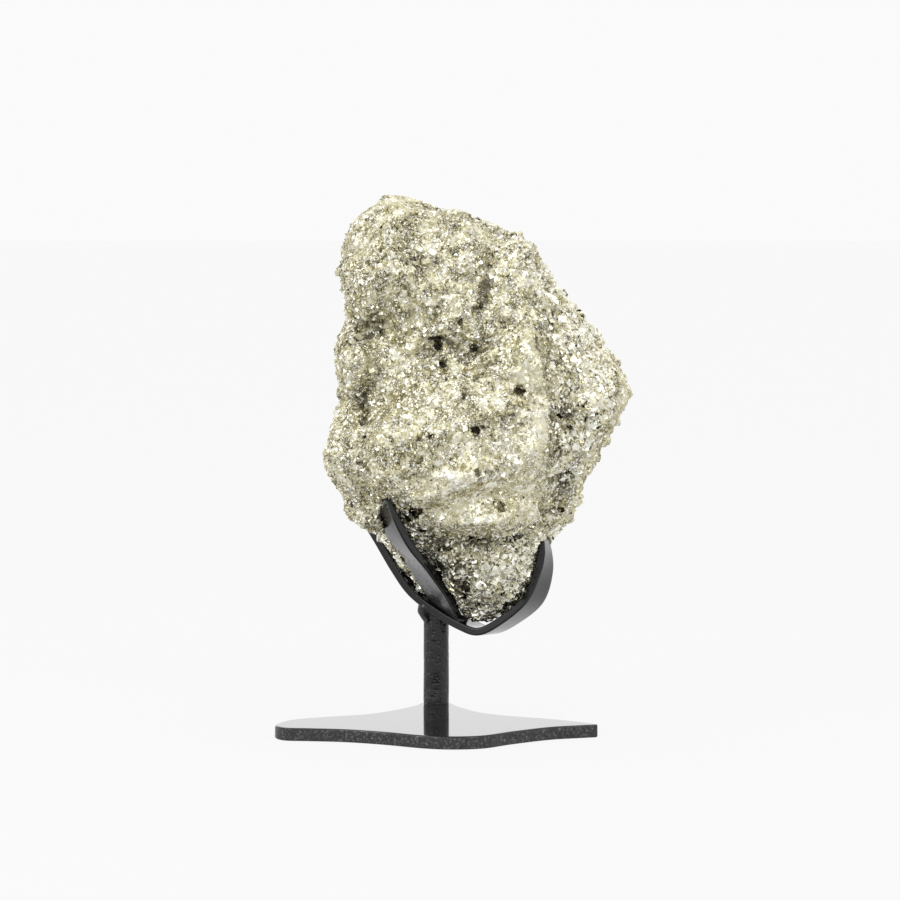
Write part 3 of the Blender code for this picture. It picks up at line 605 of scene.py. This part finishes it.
def eased(points, quads, rounds, share=0.5):
    """Each point moves a share of the way to the mean of its neighbours, and then almost
    as far back out, which takes the steps off without shrinking the whole."""
    start, end = quads.ravel(), np.roll(quads, -1, axis=1).ravel()
    count = np.bincount(start, minlength=len(points))[:, None]
    for i in range(2 * rounds):
        pull = summed(start, points[end], len(points)) / count - points
        points = points + pull * (share if i % 2 == 0 else -share * 1.04)
    return points


def normals_of(points, quads):
    """The sum at each point of its faces' diagonal products, made one long."""
    a, b, c, d = (points[quads[:, i]] for i in range(4))
    across = np.cross(c - a, d - b)
    return unit(summed(quads.ravel(), np.repeat(across, 4, axis=0), len(points)))


rough_points, skin_quads = even_cells("pyrite", SKIN_CELL)
print("skin cells:", len(skin_quads))

# %% Clear of the bars
BAR_SAMPLES = np.vstack([band_points, prong_points])


def clearance(points, reach=4.0):
    """Distance in mm from each point to the nearest point of a bar, up to the reach."""
    away = np.full(len(points), reach)
    low, high = BAR_SAMPLES.min(axis=0) - reach, BAR_SAMPLES.max(axis=0) + reach
    near = np.flatnonzero(((points > low) & (points < high)).all(axis=1))
    for part in np.array_split(near, max(1, len(near) // 500)):
        gaps = points[part][:, None] - BAR_SAMPLES[None, ::3]
        away[part] = np.minimum(reach, np.sqrt((gaps ** 2).sum(axis=-1).min(axis=1)))
    return away


# %% Eased steps and bells
def bell(points, centre, radii):
    """1 at the centre, falling to 0.37 where the ellipsoid of these radii is reached."""
    return np.exp(-((((points - centre) / radii)) ** 2).sum(axis=1))


def step_up(values, start, end):
    t = np.clip((values - start) / (end - start), 0, 1)
    return t * t * (3 - 2 * t)


# %% Pits and painted shade along clefts
# x and z on the front and radius of the holes that break through between crystals
PITS = (
    (0.4, 120.4, 2.2), (2.3, 113.5, 1.4), (11.7, 118.0, 1.1),
    (24.4, 106.0, 1.2), (26.2, 105.7, 1.3), (27.4, 106.4, 1.0), (12.2, 94.3, 1.4),
    (12.6, 82.2, 1.4), (13.6, 79.6, 1.1),
    (-1.3, 92.8, 0.9), (-4.6, 85.8, 0.9), (26.0, 59.4, 1.5), (22.6, 58.6, 1.3),
    (13.0, 58.4, 1.7), (17.0, 59.2, 1.0), (19.3, 52.4, 1.1), (11.1, 51.4, 1.2),
    (18.4, 72.2, 1.0), (20.2, 70.8, 1.2), (21.2, 72.4, 0.9),
    (38.2, 68.4, 1.2), (-5.9, 69.0, 2.2), (-3.0, 67.5, 1.2),
    (-1.2, 63.5, 1.3), (-4.5, 63.5, 0.9), (1.0, 59.5, 1.4), (3.5, 56.5, 1.9),
    (-22.4, 102.0, 1.0), (-21.5, 99.5, 1.1), (-22.3, 96.5, 0.8), (-4.9, 92.8, 1.0),
    (8.6, 104.9, 1.1), (-11.0, 85.0, 1.0), (-24.0, 86.6, 1.2), (-26.4, 90.0, 0.7),
    (-7.6, 158.7, 1.2), (-10.0, 157.0, 0.8), (-16.7, 154.8, 0.8), (-17.6, 148.2, 1.1),
    (-15.7, 146.4, 0.9), (-8.7, 149.4, 0.9), (-6.5, 146.5, 1.1), (-1.1, 153.2, 0.9),
    (3.5, 149.6, 1.1), (5.9, 147.5, 1.2), (9.3, 145.0, 0.8), (12.7, 142.3, 1.2),
    (3.5, 138.4, 1.0), (0.7, 136.2, 0.9), (0.4, 131.4, 1.0), (7.8, 132.9, 0.8),
    (12.9, 131.5, 1.5), (-21.2, 141.5, 1.0), (-22.8, 145.5, 0.7),
    (-23.3, 123.5, 1.0), (-17.0, 123.8, 1.1), (27.5, 129.0, 0.8), (35.5, 124.0, 0.8),
    (48.5, 98.5, 0.9), (38.0, 98.7, 1.0), (37.0, 88.5, 1.1), (41.4, 80.8, 1.4),
    (39.4, 76.3, 1.2), (8.8, 44.5, 1.6), (18.5, 52.0, 1.3), (24.5, 55.5, 1.0),
    (13.0, 38.0, 1.2), (21.0, 41.0, 1.1),
)
PIT_DEPTH = 1.15  # for each mm of radius
# x, z and height in mm of the crust that has partly grown over the solid's roundest pits
GROWN_OVER = (
    (19.5, 71.8, 0.9), (7.1, 126.2, 1.2), (25.5, 106.3, 0.5), (12.8, 82.8, 0.5),
    (-24.0, 128.0, 1.5), (40.5, 94.0, 1.5),
)
PORE_DEPTH = 1.6
PORE_LIMITS = (0.72, 0.98)
# Ends (x, z), half width and strength of the painted shade, a dull olive darkening, along clefts
PAINTED_CLEFT_SHADE = (
    ((-8.0, 68.5), (-3.0, 59.0), 2.4, 1.1), ((-1.5, 58.0), (8.5, 36.0), 4.6, 1.4),
    ((1.0, 58.6), (14.0, 58.6), 1.8, 1.1), ((14.0, 58.6), (27.0, 59.6), 1.2, 0.9),
    ((17.0, 143.0), (14.5, 131.0), 1.8, 0.8), ((30.5, 124.4), (32.7, 109.2), 0.9, 0.8),
    ((32.7, 109.2), (36.3, 101.0), 1.0, 0.7), ((36.3, 101.0), (36.9, 86.0), 1.2, 0.9),
    ((37.5, 98.5), (41.5, 101.5), 1.7, 0.9), ((47.0, 98.5), (50.0, 99.0), 1.3, 0.8),
    ((42.5, 83.0), (39.5, 76.0), 1.9, 1.0), ((39.5, 76.0), (37.0, 71.5), 1.2, 0.9),
    ((-22.5, 104.0), (-21.0, 96.0), 1.5, 1.1), ((-22.0, 96.0), (-21.5, 72.0), 0.9, 0.5),
    ((-27.5, 120.5), (-16.5, 124.0), 1.7, 0.9), ((-26.5, 136.0), (-22.0, 124.0), 2.4, 0.5),
    ((0.0, 121.0), (13.0, 117.0), 3.6, 0.6), ((14.0, 96.0), (26.0, 102.0), 2.6, 0.6),
    ((24.0, 38.0), (32.0, 48.0), 2.0, 0.9), ((11.0, 38.0), (23.0, 36.0), 1.6, 0.7),
)


def away_from_line(x, z, start, end):
    """Distance in the front view from each point to the line between two places."""
    start, span = np.array(start), np.array(end) - np.array(start)
    share = np.clip(((x - start[0]) * span[0] + (z - start[1]) * span[1]) / (span @ span), 0, 1)
    return np.hypot(x - start[0] - share * span[0], z - start[1] - share * span[1])


def cleft_shade(points, normals):
    """How dull each place is, from 0 to 1: painted shade along the clefts, on faces that look to the
    front.
    """
    wander = np.stack([noise_at(points, 3.5, seed) for seed in (61, 62)], axis=1) * 1.5
    x, z = points[:, 0] + wander[:, 0], points[:, 2] + wander[:, 1]
    dull = np.zeros(len(points))
    for start, end, half_width, strength in PAINTED_CLEFT_SHADE:
        away = away_from_line(x, z, start, end) / half_width
        dull = np.maximum(dull, strength * np.exp(-away ** 2))
    return dull * step_up(-normals[:, 1:].min(axis=1), -0.1, 0.3)


def pit_depth(points, normals):
    """Depth of the named pits, full inside a ragged rim, or of the pores all over, where
    two sizes of noise together pass a limit that a slower noise raises and lowers."""
    wander = np.stack([noise_at(points, 2.4, 63) + 0.6 * noise_at(points, 1.0, 64),
                       noise_at(points, 2.4, 68) + 0.6 * noise_at(points, 1.0, 69)], axis=1)
    x, z = points[:, 0] + 1.1 * wander[:, 0], points[:, 2] + 1.1 * wander[:, 1]
    depth = np.zeros(len(points))
    for pit_x, pit_z, radius in PITS:
        away = np.hypot(x - pit_x, z - pit_z) / radius
        depth = np.maximum(depth, PIT_DEPTH * radius * (1 - step_up(away, 0.3, 1.1)))
    for over_x, over_z, height in GROWN_OVER:
        depth -= height * np.exp(-((x - over_x) ** 2 + (z - over_z) ** 2) / 1.7)
    depth *= step_up(-normals[:, 1:].min(axis=1), 0.0, 0.3)
    pores = noise_at(points, 2.0, 65) + 0.5 * noise_at(points, 1.1, 66) + 0.4 * noise_at(points, 9.0, 67)
    return np.where(depth < 0, depth, np.maximum(depth, PORE_DEPTH * step_up(pores, *PORE_LIMITS)))


# %% Roughened skin
SKIN_NOISE = ((6.0, 0.45, 31), (3.2, 0.32, 32), (1.7, 0.22, 33))  # spacing, height, seed
SKIN_SUNK = 0.05  # the skin lies this far under the crystals' roots

skin_points = eased(rough_points, skin_quads, 5)
skin_normals = normals_of(skin_points, skin_quads)
lift = sum(height * noise_at(skin_points, spacing, seed) for spacing, height, seed in SKIN_NOISE)
lift = (lift - SKIN_SUNK) * np.clip(clearance(skin_points) / 3.0 - 0.2, 0, 1)
pits = pit_depth(skin_points, skin_normals)
# Painted shade: the colour darkens along the clefts, where shade falls.
dull = cleft_shade(skin_points, skin_normals)
skin_points = skin_points + skin_normals * (lift - pits)[:, None]
skin_normals = normals_of(skin_points, skin_quads)
wide = eased(skin_points, skin_quads, 1)
for _ in range(14):
    start, end = skin_quads.ravel(), np.roll(skin_quads, -1, axis=1).ravel()
    wide = summed(start, wide[end], len(wide)) / np.bincount(start, minlength=len(wide))[:, None]
hollow = ((wide - skin_points) * skin_normals).sum(axis=1)
print("hollow from", round(hollow.min(), 2), "to", round(hollow.max(), 2), "mm")

# %% [markdown]
# ## Pyrite
#
# Iron disulphide is a metal to light: it has no diffuse colour, only a pale brass
# reflection, a little greener and greyer than brass. Fresh faces shine like satin, and
# tarnishing in the gaps turns them olive, brown and at last black. The same dark colours
# are painted shade as well, in hollows, along clefts, in pits and at the crystals' roots.
# Three numbers lie on each point: tone, tarnish with painted shade, and relief. The
# material turns the first two into colour and roughness. A picture of the surface could
# give the finer grain, but it would have to be unwrapped over every overhang. So cells
# about a millimetre across stand for grains, each of its own tone and each leaning its own
# way, with a dark net of gaps and specks between them. Relief says how strongly the cells
# differ, which is least where the grain is finest.

# %% Pyrite finish
FRESH = ((0.0, "#AFA87F"), (0.40, "#D6D1B2"), (0.70, "#EFECDA"), (0.92, "#FDFDF6"))
# Dark colours, for tarnish and for painted shade alike:
TARNISH_AND_SHADE = ((0.0, "#A49C66"), (0.5, "#6B5F2A"), (0.8, "#33290A"), (1.0, "#130F04"))


def pyrite_finish(name, roughness, grain, lean):
    """Tarnish and painted shade, with the gaps and specks, set the roughness between its two
    ends. The grains are cells of this size in mm, each of its own tone, and lean is how far
    each one's face leans its own way."""
    made, tree, shader = new_material(name)
    place = add(tree, "ShaderNodeTexCoord").outputs["Object"]
    waves = add(tree, "ShaderNodeTexNoise", [
        ("Vector", place), ("Scale", 1 / (1.1 * MM)), ("Detail", 2.0)]).outputs["Color"]
    waves = add(tree, "ShaderNodeVectorMath", [(0, waves), (1, (0.5, 0.5, 0.5))],
                operation="SUBTRACT").outputs[0]
    bent = add(tree, "ShaderNodeVectorMath", [
        (0, waves), (1, (0.9 * MM, 0.9 * MM, 0.9 * MM)), (2, place)],
        operation="MULTIPLY_ADD").outputs[0]
    grains = add(tree, "ShaderNodeTexVoronoi", [("Vector", bent), ("Scale", 1 / (grain * MM))])
    gaps = add(tree, "ShaderNodeTexVoronoi", [
        ("Vector", bent), ("Scale", 1 / (grain * MM))], feature="DISTANCE_TO_EDGE")
    gaps = add(tree, "ShaderNodeMapRange", [
        ("Value", gaps.outputs["Distance"]), ("From Min", 0.02), ("From Max", 0.18),
        ("To Min", 0.85), ("To Max", 0.0)]).outputs["Result"]
    cloud = add(tree, "ShaderNodeTexNoise", [
        ("Vector", place), ("Scale", 1 / (4 * MM)), ("Detail", 3.0)]).outputs["Fac"]
    netted = add(tree, "ShaderNodeMapRange", [
        ("Value", cloud), ("From Min", 0.63), ("From Max", 0.44)]).outputs["Result"]
    relief = add(tree, "ShaderNodeAttribute", attribute_name="relief").outputs["Fac"]
    rugged = add(tree, "ShaderNodeMapRange", [
        ("Value", relief), ("From Min", 0.5), ("From Max", 1.0), ("To Min", 0.2), ("To Max", 1.0)])
    for share in (netted, rugged.outputs["Result"]):
        gaps = add(tree, "ShaderNodeMath", [(0, gaps), (1, share)], operation="MULTIPLY").outputs[0]
    specks = add(tree, "ShaderNodeTexNoise", [
        ("Vector", bent), ("Scale", 1 / (1.3 * MM)), ("Detail", 2.0)]).outputs["Fac"]
    crowd = add(tree, "ShaderNodeMath", [(0, cloud), (1, 0.25), (2, specks)],
                operation="MULTIPLY_ADD").outputs[0]
    # Tarnish and painted shade arrive together in this attribute and darken the colour.
    tarnish = add(tree, "ShaderNodeAttribute", attribute_name="tarnish").outputs["Fac"]
    crowd = add(tree, "ShaderNodeMath", [(0, tarnish), (1, -0.25), (2, crowd)],
                operation="MULTIPLY_ADD").outputs[0]
    specks = add(tree, "ShaderNodeMapRange", [
        ("Value", crowd), ("From Min", 0.42), ("From Max", 0.52),
        ("To Min", 0.8), ("To Max", 0.0)]).outputs["Result"]
    dark = add(tree, "ShaderNodeMath", [(0, tarnish), (1, 0.8)], operation="MULTIPLY").outputs[0]
    for layer in (gaps, specks):
        dark = add(tree, "ShaderNodeMath", [(0, dark), (1, layer)], operation="MAXIMUM").outputs[0]
    random_tone = add(tree, "ShaderNodeSeparateXYZ", [("Vector", grains.outputs["Color"])])
    tone = add(tree, "ShaderNodeAttribute", attribute_name="tone").outputs["Fac"]
    spread = add(tree, "ShaderNodeMath", [(0, relief), (1, 0.5)], operation="MULTIPLY").outputs[0]
    tone = add(tree, "ShaderNodeMath", [(0, random_tone.outputs["X"]), (1, spread), (2, tone)],
               operation="MULTIPLY_ADD").outputs[0]
    clean = add(tree, "ShaderNodeValToRGB", [("Fac", tone)], stops=FRESH).outputs["Color"]
    dull = add(tree, "ShaderNodeValToRGB", [("Fac", dark)], stops=TARNISH_AND_SHADE).outputs["Color"]
    colour = add(tree, "ShaderNodeMix", [("Factor", dark), (6, clean), (7, dull)],
                 data_type="RGBA").outputs[2]
    tree.links.new(colour, shader.inputs["Base Color"])
    shader.inputs["Metallic"].default_value = 1.0
    shader.inputs["Specular Tint"].default_value = linear("#EFE8CC")  # pale brass at grazing angles too
    rough = add(tree, "ShaderNodeMapRange", [
        ("Value", dark), ("To Min", roughness[0]), ("To Max", roughness[1])]).outputs["Result"]
    tree.links.new(rough, shader.inputs["Roughness"])
    lean_way = add(tree, "ShaderNodeVectorMath", [
        (0, grains.outputs["Color"]), (1, (0.5, 0.5, 0.5))], operation="SUBTRACT").outputs[0]
    facing = add(tree, "ShaderNodeNewGeometry").outputs["Normal"]
    leaning = add(tree, "ShaderNodeMath", [(0, relief), (1, lean)], operation="MULTIPLY").outputs[0]
    facing = add(tree, "ShaderNodeVectorMath", [(0, lean_way), (1, leaning), (2, facing)],
                 operation="MULTIPLY_ADD").outputs[0]
    facing = add(tree, "ShaderNodeVectorMath", [(0, facing)], operation="NORMALIZE").outputs[0]
    tree.links.new(facing, shader.inputs["Normal"])
    return made


crystal_finish = pyrite_finish("pyrite_crystals", (0.34, 0.6), 1.3, 0.3)
skin_finish = pyrite_finish("pyrite_between_crystals", (0.40, 0.65), 0.95, 0.75)

# %% Where crystals are coarse
def coarseness(points):
    """0 where the grain is finest and 1 where it is coarsest."""
    x, y, z = points.T
    field = 0.42 + 0.22 * noise_at(points, 13.0, 41) + 0.18 * noise_at(points, 5.0, 42)
    field += 0.55 * step_up(x, 33.0, 38.0)
    field -= 0.85 * step_up(x, 52.0, 57.0)
    field -= 0.85 * np.exp(-(away_from_line(x, z, (60.0, 101.0), (41.0, 66.0)) / 4.0) ** 2)
    field += 0.50 * step_up(-z, -63.0, -58.0)
    field += 0.15 * step_up(z, 128.0, 145.0)
    field += 0.50 * np.exp(-(away_from_line(x, z, (-9.0, 66.0), (6.0, 40.0)) / 6.0) ** 2)
    field -= 0.20 * bell(points, (6.0, -20.0, 90.0), (24.0, 16.0, 24.0))
    field -= 0.55 * bell(points, (14.0, -20.0, 69.0), (22.0, 14.0, 8.0))
    field -= 0.45 * bell(points, (28.0, -14.0, 115.0), (7.0, 12.0, 9.0))
    field -= 0.45 * bell(points, (31.5, -18.0, 95.0), (5.0, 16.0, 11.0))
    for centre in ((24.5, 4.0, 148.0), (-24.0, 0.0, 150.0), (-10.0, 6.0, 163.0), (6.0, 6.0, 158.5)):
        field -= 0.50 * bell(points, centre, (6.0, 14.0, 5.5))
    return np.clip(field, 0.0, 1.0)


# %% Skin piece
coarse = coarseness(skin_points)
smooth_grain = 1 - step_up(coarse, 0.0, 0.30)
# Painted shade: the skin's colour darkens in hollows, along the clefts and in the pits, where shade
# falls. In the hollows it stands for tarnishing as well. Noise and the grain size vary it too.
skin_tarnish = 0.05 + np.minimum(hollow, 0.9) * 0.5 + 0.9 * dull + 0.15 * noise_at(skin_points, 2.2, 51)
skin_tarnish += step_up(pits, 0.2, 1.5) - 0.2 * smooth_grain + 0.25 * step_up(coarse, 0.4, 0.9)
skin_tone = 0.36 + 0.2 * noise_at(skin_points, 3.0, 52) + 0.1 * smooth_grain
skin = make_piece("pyrite_skin", skin_points, [skin_quads], skin_finish, tone=skin_tone,
                  tarnish=np.clip(skin_tarnish, -0.4, 1.0), relief=1 - 0.3 * smooth_grain)
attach(skin, "root")
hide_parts("pyrite")

# %% [markdown]
# ## Crystals
#
# Every crystal is a cube, a cube with its corners cut, or a stretched cube, and each one
# is turned its own way, because the seeds they grew from lay every way. They could be
# scattered by a particle system or Geometry Nodes. Here one array holds the corners of all
# of them: the shape's corners times the edge, turned, plus the place. Coarse crystals stand
# on the right wing, beside the prong and at the foot. The swollen front is fine-grained.
# A crystal's colour is darker towards its root, painted shade where it meets the skin, and none stands
# where the mass is too thin for it.

# %% Shapes
def cut_cube(cut):
    """A cube of edge 1 whose corners are cut off at that share of half the edge: the
    corner points are all the orders of (1, 1, 1 - cut) with every sign."""
    short = 1 - cut
    signs = np.array(list(itertools.product((1, -1), repeat=3)))
    corners = np.vstack([signs * row for row in ((1, 1, short), (1, short, 1), (short, 1, 1))])
    quads, ends = [], []
    for axis in range(3):
        for side in (1, -1):
            ring = np.flatnonzero(corners[:, axis] == side)
            u, v = corners[ring][:, (axis + 1) % 3], corners[ring][:, (axis + 2) % 3]
            quads.append(ring[np.argsort(side * np.arctan2(v, u))])
    for i, sign in enumerate(signs):
        end = np.array([i, i + 16, i + 8]) if sign.prod() > 0 else np.array([i, i + 8, i + 16])
        ends.append(end)
    return corners / 2, [np.array(quads), np.array(ends)]


def whole_cube():
    corners = np.array(list(itertools.product((-1, 1), repeat=3)), float)
    faces = np.array([[0, 1, 3, 2], [4, 6, 7, 5], [0, 4, 5, 1], [2, 3, 7, 6], [0, 2, 6, 4], [1, 5, 7, 3]])
    return corners / 2, [faces]


def random_turns(chance, count):
    """Rotation matrices spread evenly over all turns, from unit quaternions."""
    w, x, y, z = unit(chance.normal(size=(count, 4))).T
    return np.stack([
        1 - 2 * (y * y + z * z), 2 * (x * y - z * w), 2 * (x * z + y * w),
        2 * (x * y + z * w), 1 - 2 * (x * x + z * z), 2 * (y * z - x * w),
        2 * (x * z - y * w), 2 * (y * z + x * w), 1 - 2 * (x * x + y * y),
    ], axis=1).reshape(-1, 3, 3)


# %% Scattering
corners = skin_points[skin_quads]
quad_centres = corners.mean(axis=1)
diagonals = np.cross(corners[:, 2] - corners[:, 0], corners[:, 3] - corners[:, 1])
quad_areas = np.linalg.norm(diagonals, axis=1) / 2
quad_normals = unit(skin_normals[skin_quads].sum(axis=1))
# Painted shade, with tarnishing in the hollows: crystals darken in hollows, along the clefts and in the
# pits.
point_shade_and_tarnish = np.minimum(hollow, 0.9) * 0.45 + dull * 0.6 + 0.5 * step_up(pits, 0.3, 1.6)
quad_shade_and_tarnish = point_shade_and_tarnish[skin_quads].mean(axis=1)
quad_open = 1 - 0.5 * step_up(pits[skin_quads].max(axis=1), 0.3, 1.2)
quad_coarse = coarse[skin_quads].mean(axis=1)
quad_plain = np.maximum(0.6 * smooth_grain, step_up(coarse, 0.5, 0.85))[skin_quads].mean(axis=1)
print("surface:", round(quad_areas.sum() / 100, 1), "square cm")


def scattered(chance, spacing, share):
    """Faces and places on them, at random by area and share, and then at most one place
    in each cube of space as wide as the spacing, so that none lies on another."""
    weight = quad_areas * share * quad_open
    count = int(weight.sum() / spacing ** 2 * 2.6)
    face = chance.choice(len(skin_quads), count, p=weight / weight.sum())
    u, v = chance.random((2, count, 1))
    a, b, c, d = (corners[face, i] for i in range(4))
    place = (a * (1 - u) + b * u) * (1 - v) + (d * (1 - u) + c * u) * v
    cell = np.floor(place / spacing).astype(int) @ [1, 4001, 16008001]
    kept = np.sort(np.unique(cell, return_index=True)[1])
    return face[kept], place[kept]


RAY_START = 0.3


def thickness_behind(points, quads, places, normals, reach=8.0):
    """How much of the mass lies straight behind each place in mm, up to the reach: a ray
    starts RAY_START inside and ends where it meets a face from within."""
    tree = BVHTree.FromPolygons(points.tolist(), quads.tolist())
    thick = np.full(len(places), reach)
    for i, (place, normal) in enumerate(zip(places, normals)):
        facing, away = tree.ray_cast(Vector(place - normal * RAY_START), Vector(-normal), reach)[1::2]
        if away is not None and facing.dot(Vector(normal)) < 0:
            thick[i] = away + RAY_START
    return thick


quad_thick = thickness_behind(skin_points, skin_quads, quad_centres, quad_normals)
print("places less than 3 mm thick:", int((quad_thick < 3).sum()))
# Painted shade at the crystals' roots, where they meet the skin:
ROOT_SHADE = 0.25
ROOT_DEPTH = 1.8  # of the edge, the thickness that hides a whole root
HALF_CORNER = 0.62  # of the edge, about how far a crystal's corners reach
BAR_GAP = 0.15
ROOT_SHARE = 0.16  # of the edge, the height at which none of that is left


def crystal_piece(name, chance, shape, faces_at, places, edges, stretch, proud):
    """Joined crystals: shape's corners times edge and stretch, turned, plus the place. Each
    darkens in proportion to depth, from its tip down to ROOT_SHADE more at the skin: painted
    shade at the root. None stands where the mass is too thin to hide its dark root."""
    base, groups = shape
    count = len(places)
    edges = edges * np.clip(0.6 + clearance(places) / 3.0, 0.3, 1.0)
    centre = places + quad_normals[faces_at] * (edges * chance.uniform(*proud, count))[:, None]
    kept = clearance(centre) > edges * HALF_CORNER + BAR_GAP
    kept &= quad_thick[faces_at] > edges * ROOT_DEPTH
    scale = edges[:, None] * chance.uniform(1 - stretch, 1 + stretch, (count, 3))
    turned = np.einsum("kcj,kij->kci", base[None] * scale[:, None], random_turns(chance, count))
    points = (centre[:, None] + turned)[kept].reshape(-1, 3)
    # Coarse crystals are paler. On the foot, which faces down and gets little light, this paler tone is
    # also painted light.
    tone = chance.normal(0.40, 0.22, count) + 0.3 * step_up(quad_coarse[faces_at], 0.4, 0.9)
    # Each crystal takes the painted shade and tarnishing of the skin under it, varied at random.
    tarnish = np.clip(quad_shade_and_tarnish[faces_at] + chance.uniform(-0.4, 0.2, count), -0.3, 0.75)
    above = ((centre - places)[:, None] + turned) @ quad_normals[faces_at][:, :, None]
    # Painted shade: the colour darkens from the tip down to the root.
    root_shade = ROOT_SHADE * (0.7 + 1.3 * quad_coarse[faces_at][:, None])
    tarnish = tarnish[:, None] + root_shade * (1 - above[..., 0] / (ROOT_SHARE * edges[:, None]))
    starts = np.arange(kept.sum())[:, None, None] * len(base)
    faces = [(group[None] + starts).reshape(-1, group.shape[1]) for group in groups]
    repeat = len(base)
    piece = make_piece(name, points, faces, crystal_finish, smooth=False,
                       tone=np.repeat(np.clip(tone[kept], 0, 1), repeat),
                       tarnish=tarnish[kept].ravel(),
                       relief=np.repeat(1 - 0.5 * quad_plain[faces_at][kept], repeat))
    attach(piece, "root")
    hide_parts("pyrite")
    return piece


# %% Coarse, middling and fine crystals
chance = np.random.default_rng(7)
coarse_share = step_up(quad_coarse, 0.45, 0.9)
faces_at, places = scattered(chance, 2.8, 0.02 + 0.98 * coarse_share)
crystal_piece("crystals_coarse", chance, cut_cube(0.28), faces_at, places,
              chance.uniform(1.5, 2.6, len(places)), 0.12, (-0.58, -0.32))
faces_at, places = scattered(chance, 1.7, 0.15 + 0.85 * step_up(quad_coarse, 0.15, 0.6))
crystal_piece("crystals_middling", chance, whole_cube(), faces_at, places,
              chance.uniform(0.9, 1.7, len(places)), 0.22, (-0.58, -0.28))
faces_at, places = scattered(chance, 1.1, 0.7 + 0.3 * step_up(quad_coarse, 0.08, 0.4))
edges = chance.uniform(0.55, 1.15, len(places)) * (0.7 + 0.45 * quad_coarse[faces_at])
thirds = np.digitize(places[:, 2], np.quantile(places[:, 2], [1 / 3, 2 / 3]))
for i, label in enumerate(("low", "middle", "high")):
    part = thirds == i
    crystal_piece(f"crystals_fine_{label}", chance, whole_cube(), faces_at[part], places[part],
                  edges[part], 0.25, (-0.58, -0.25))
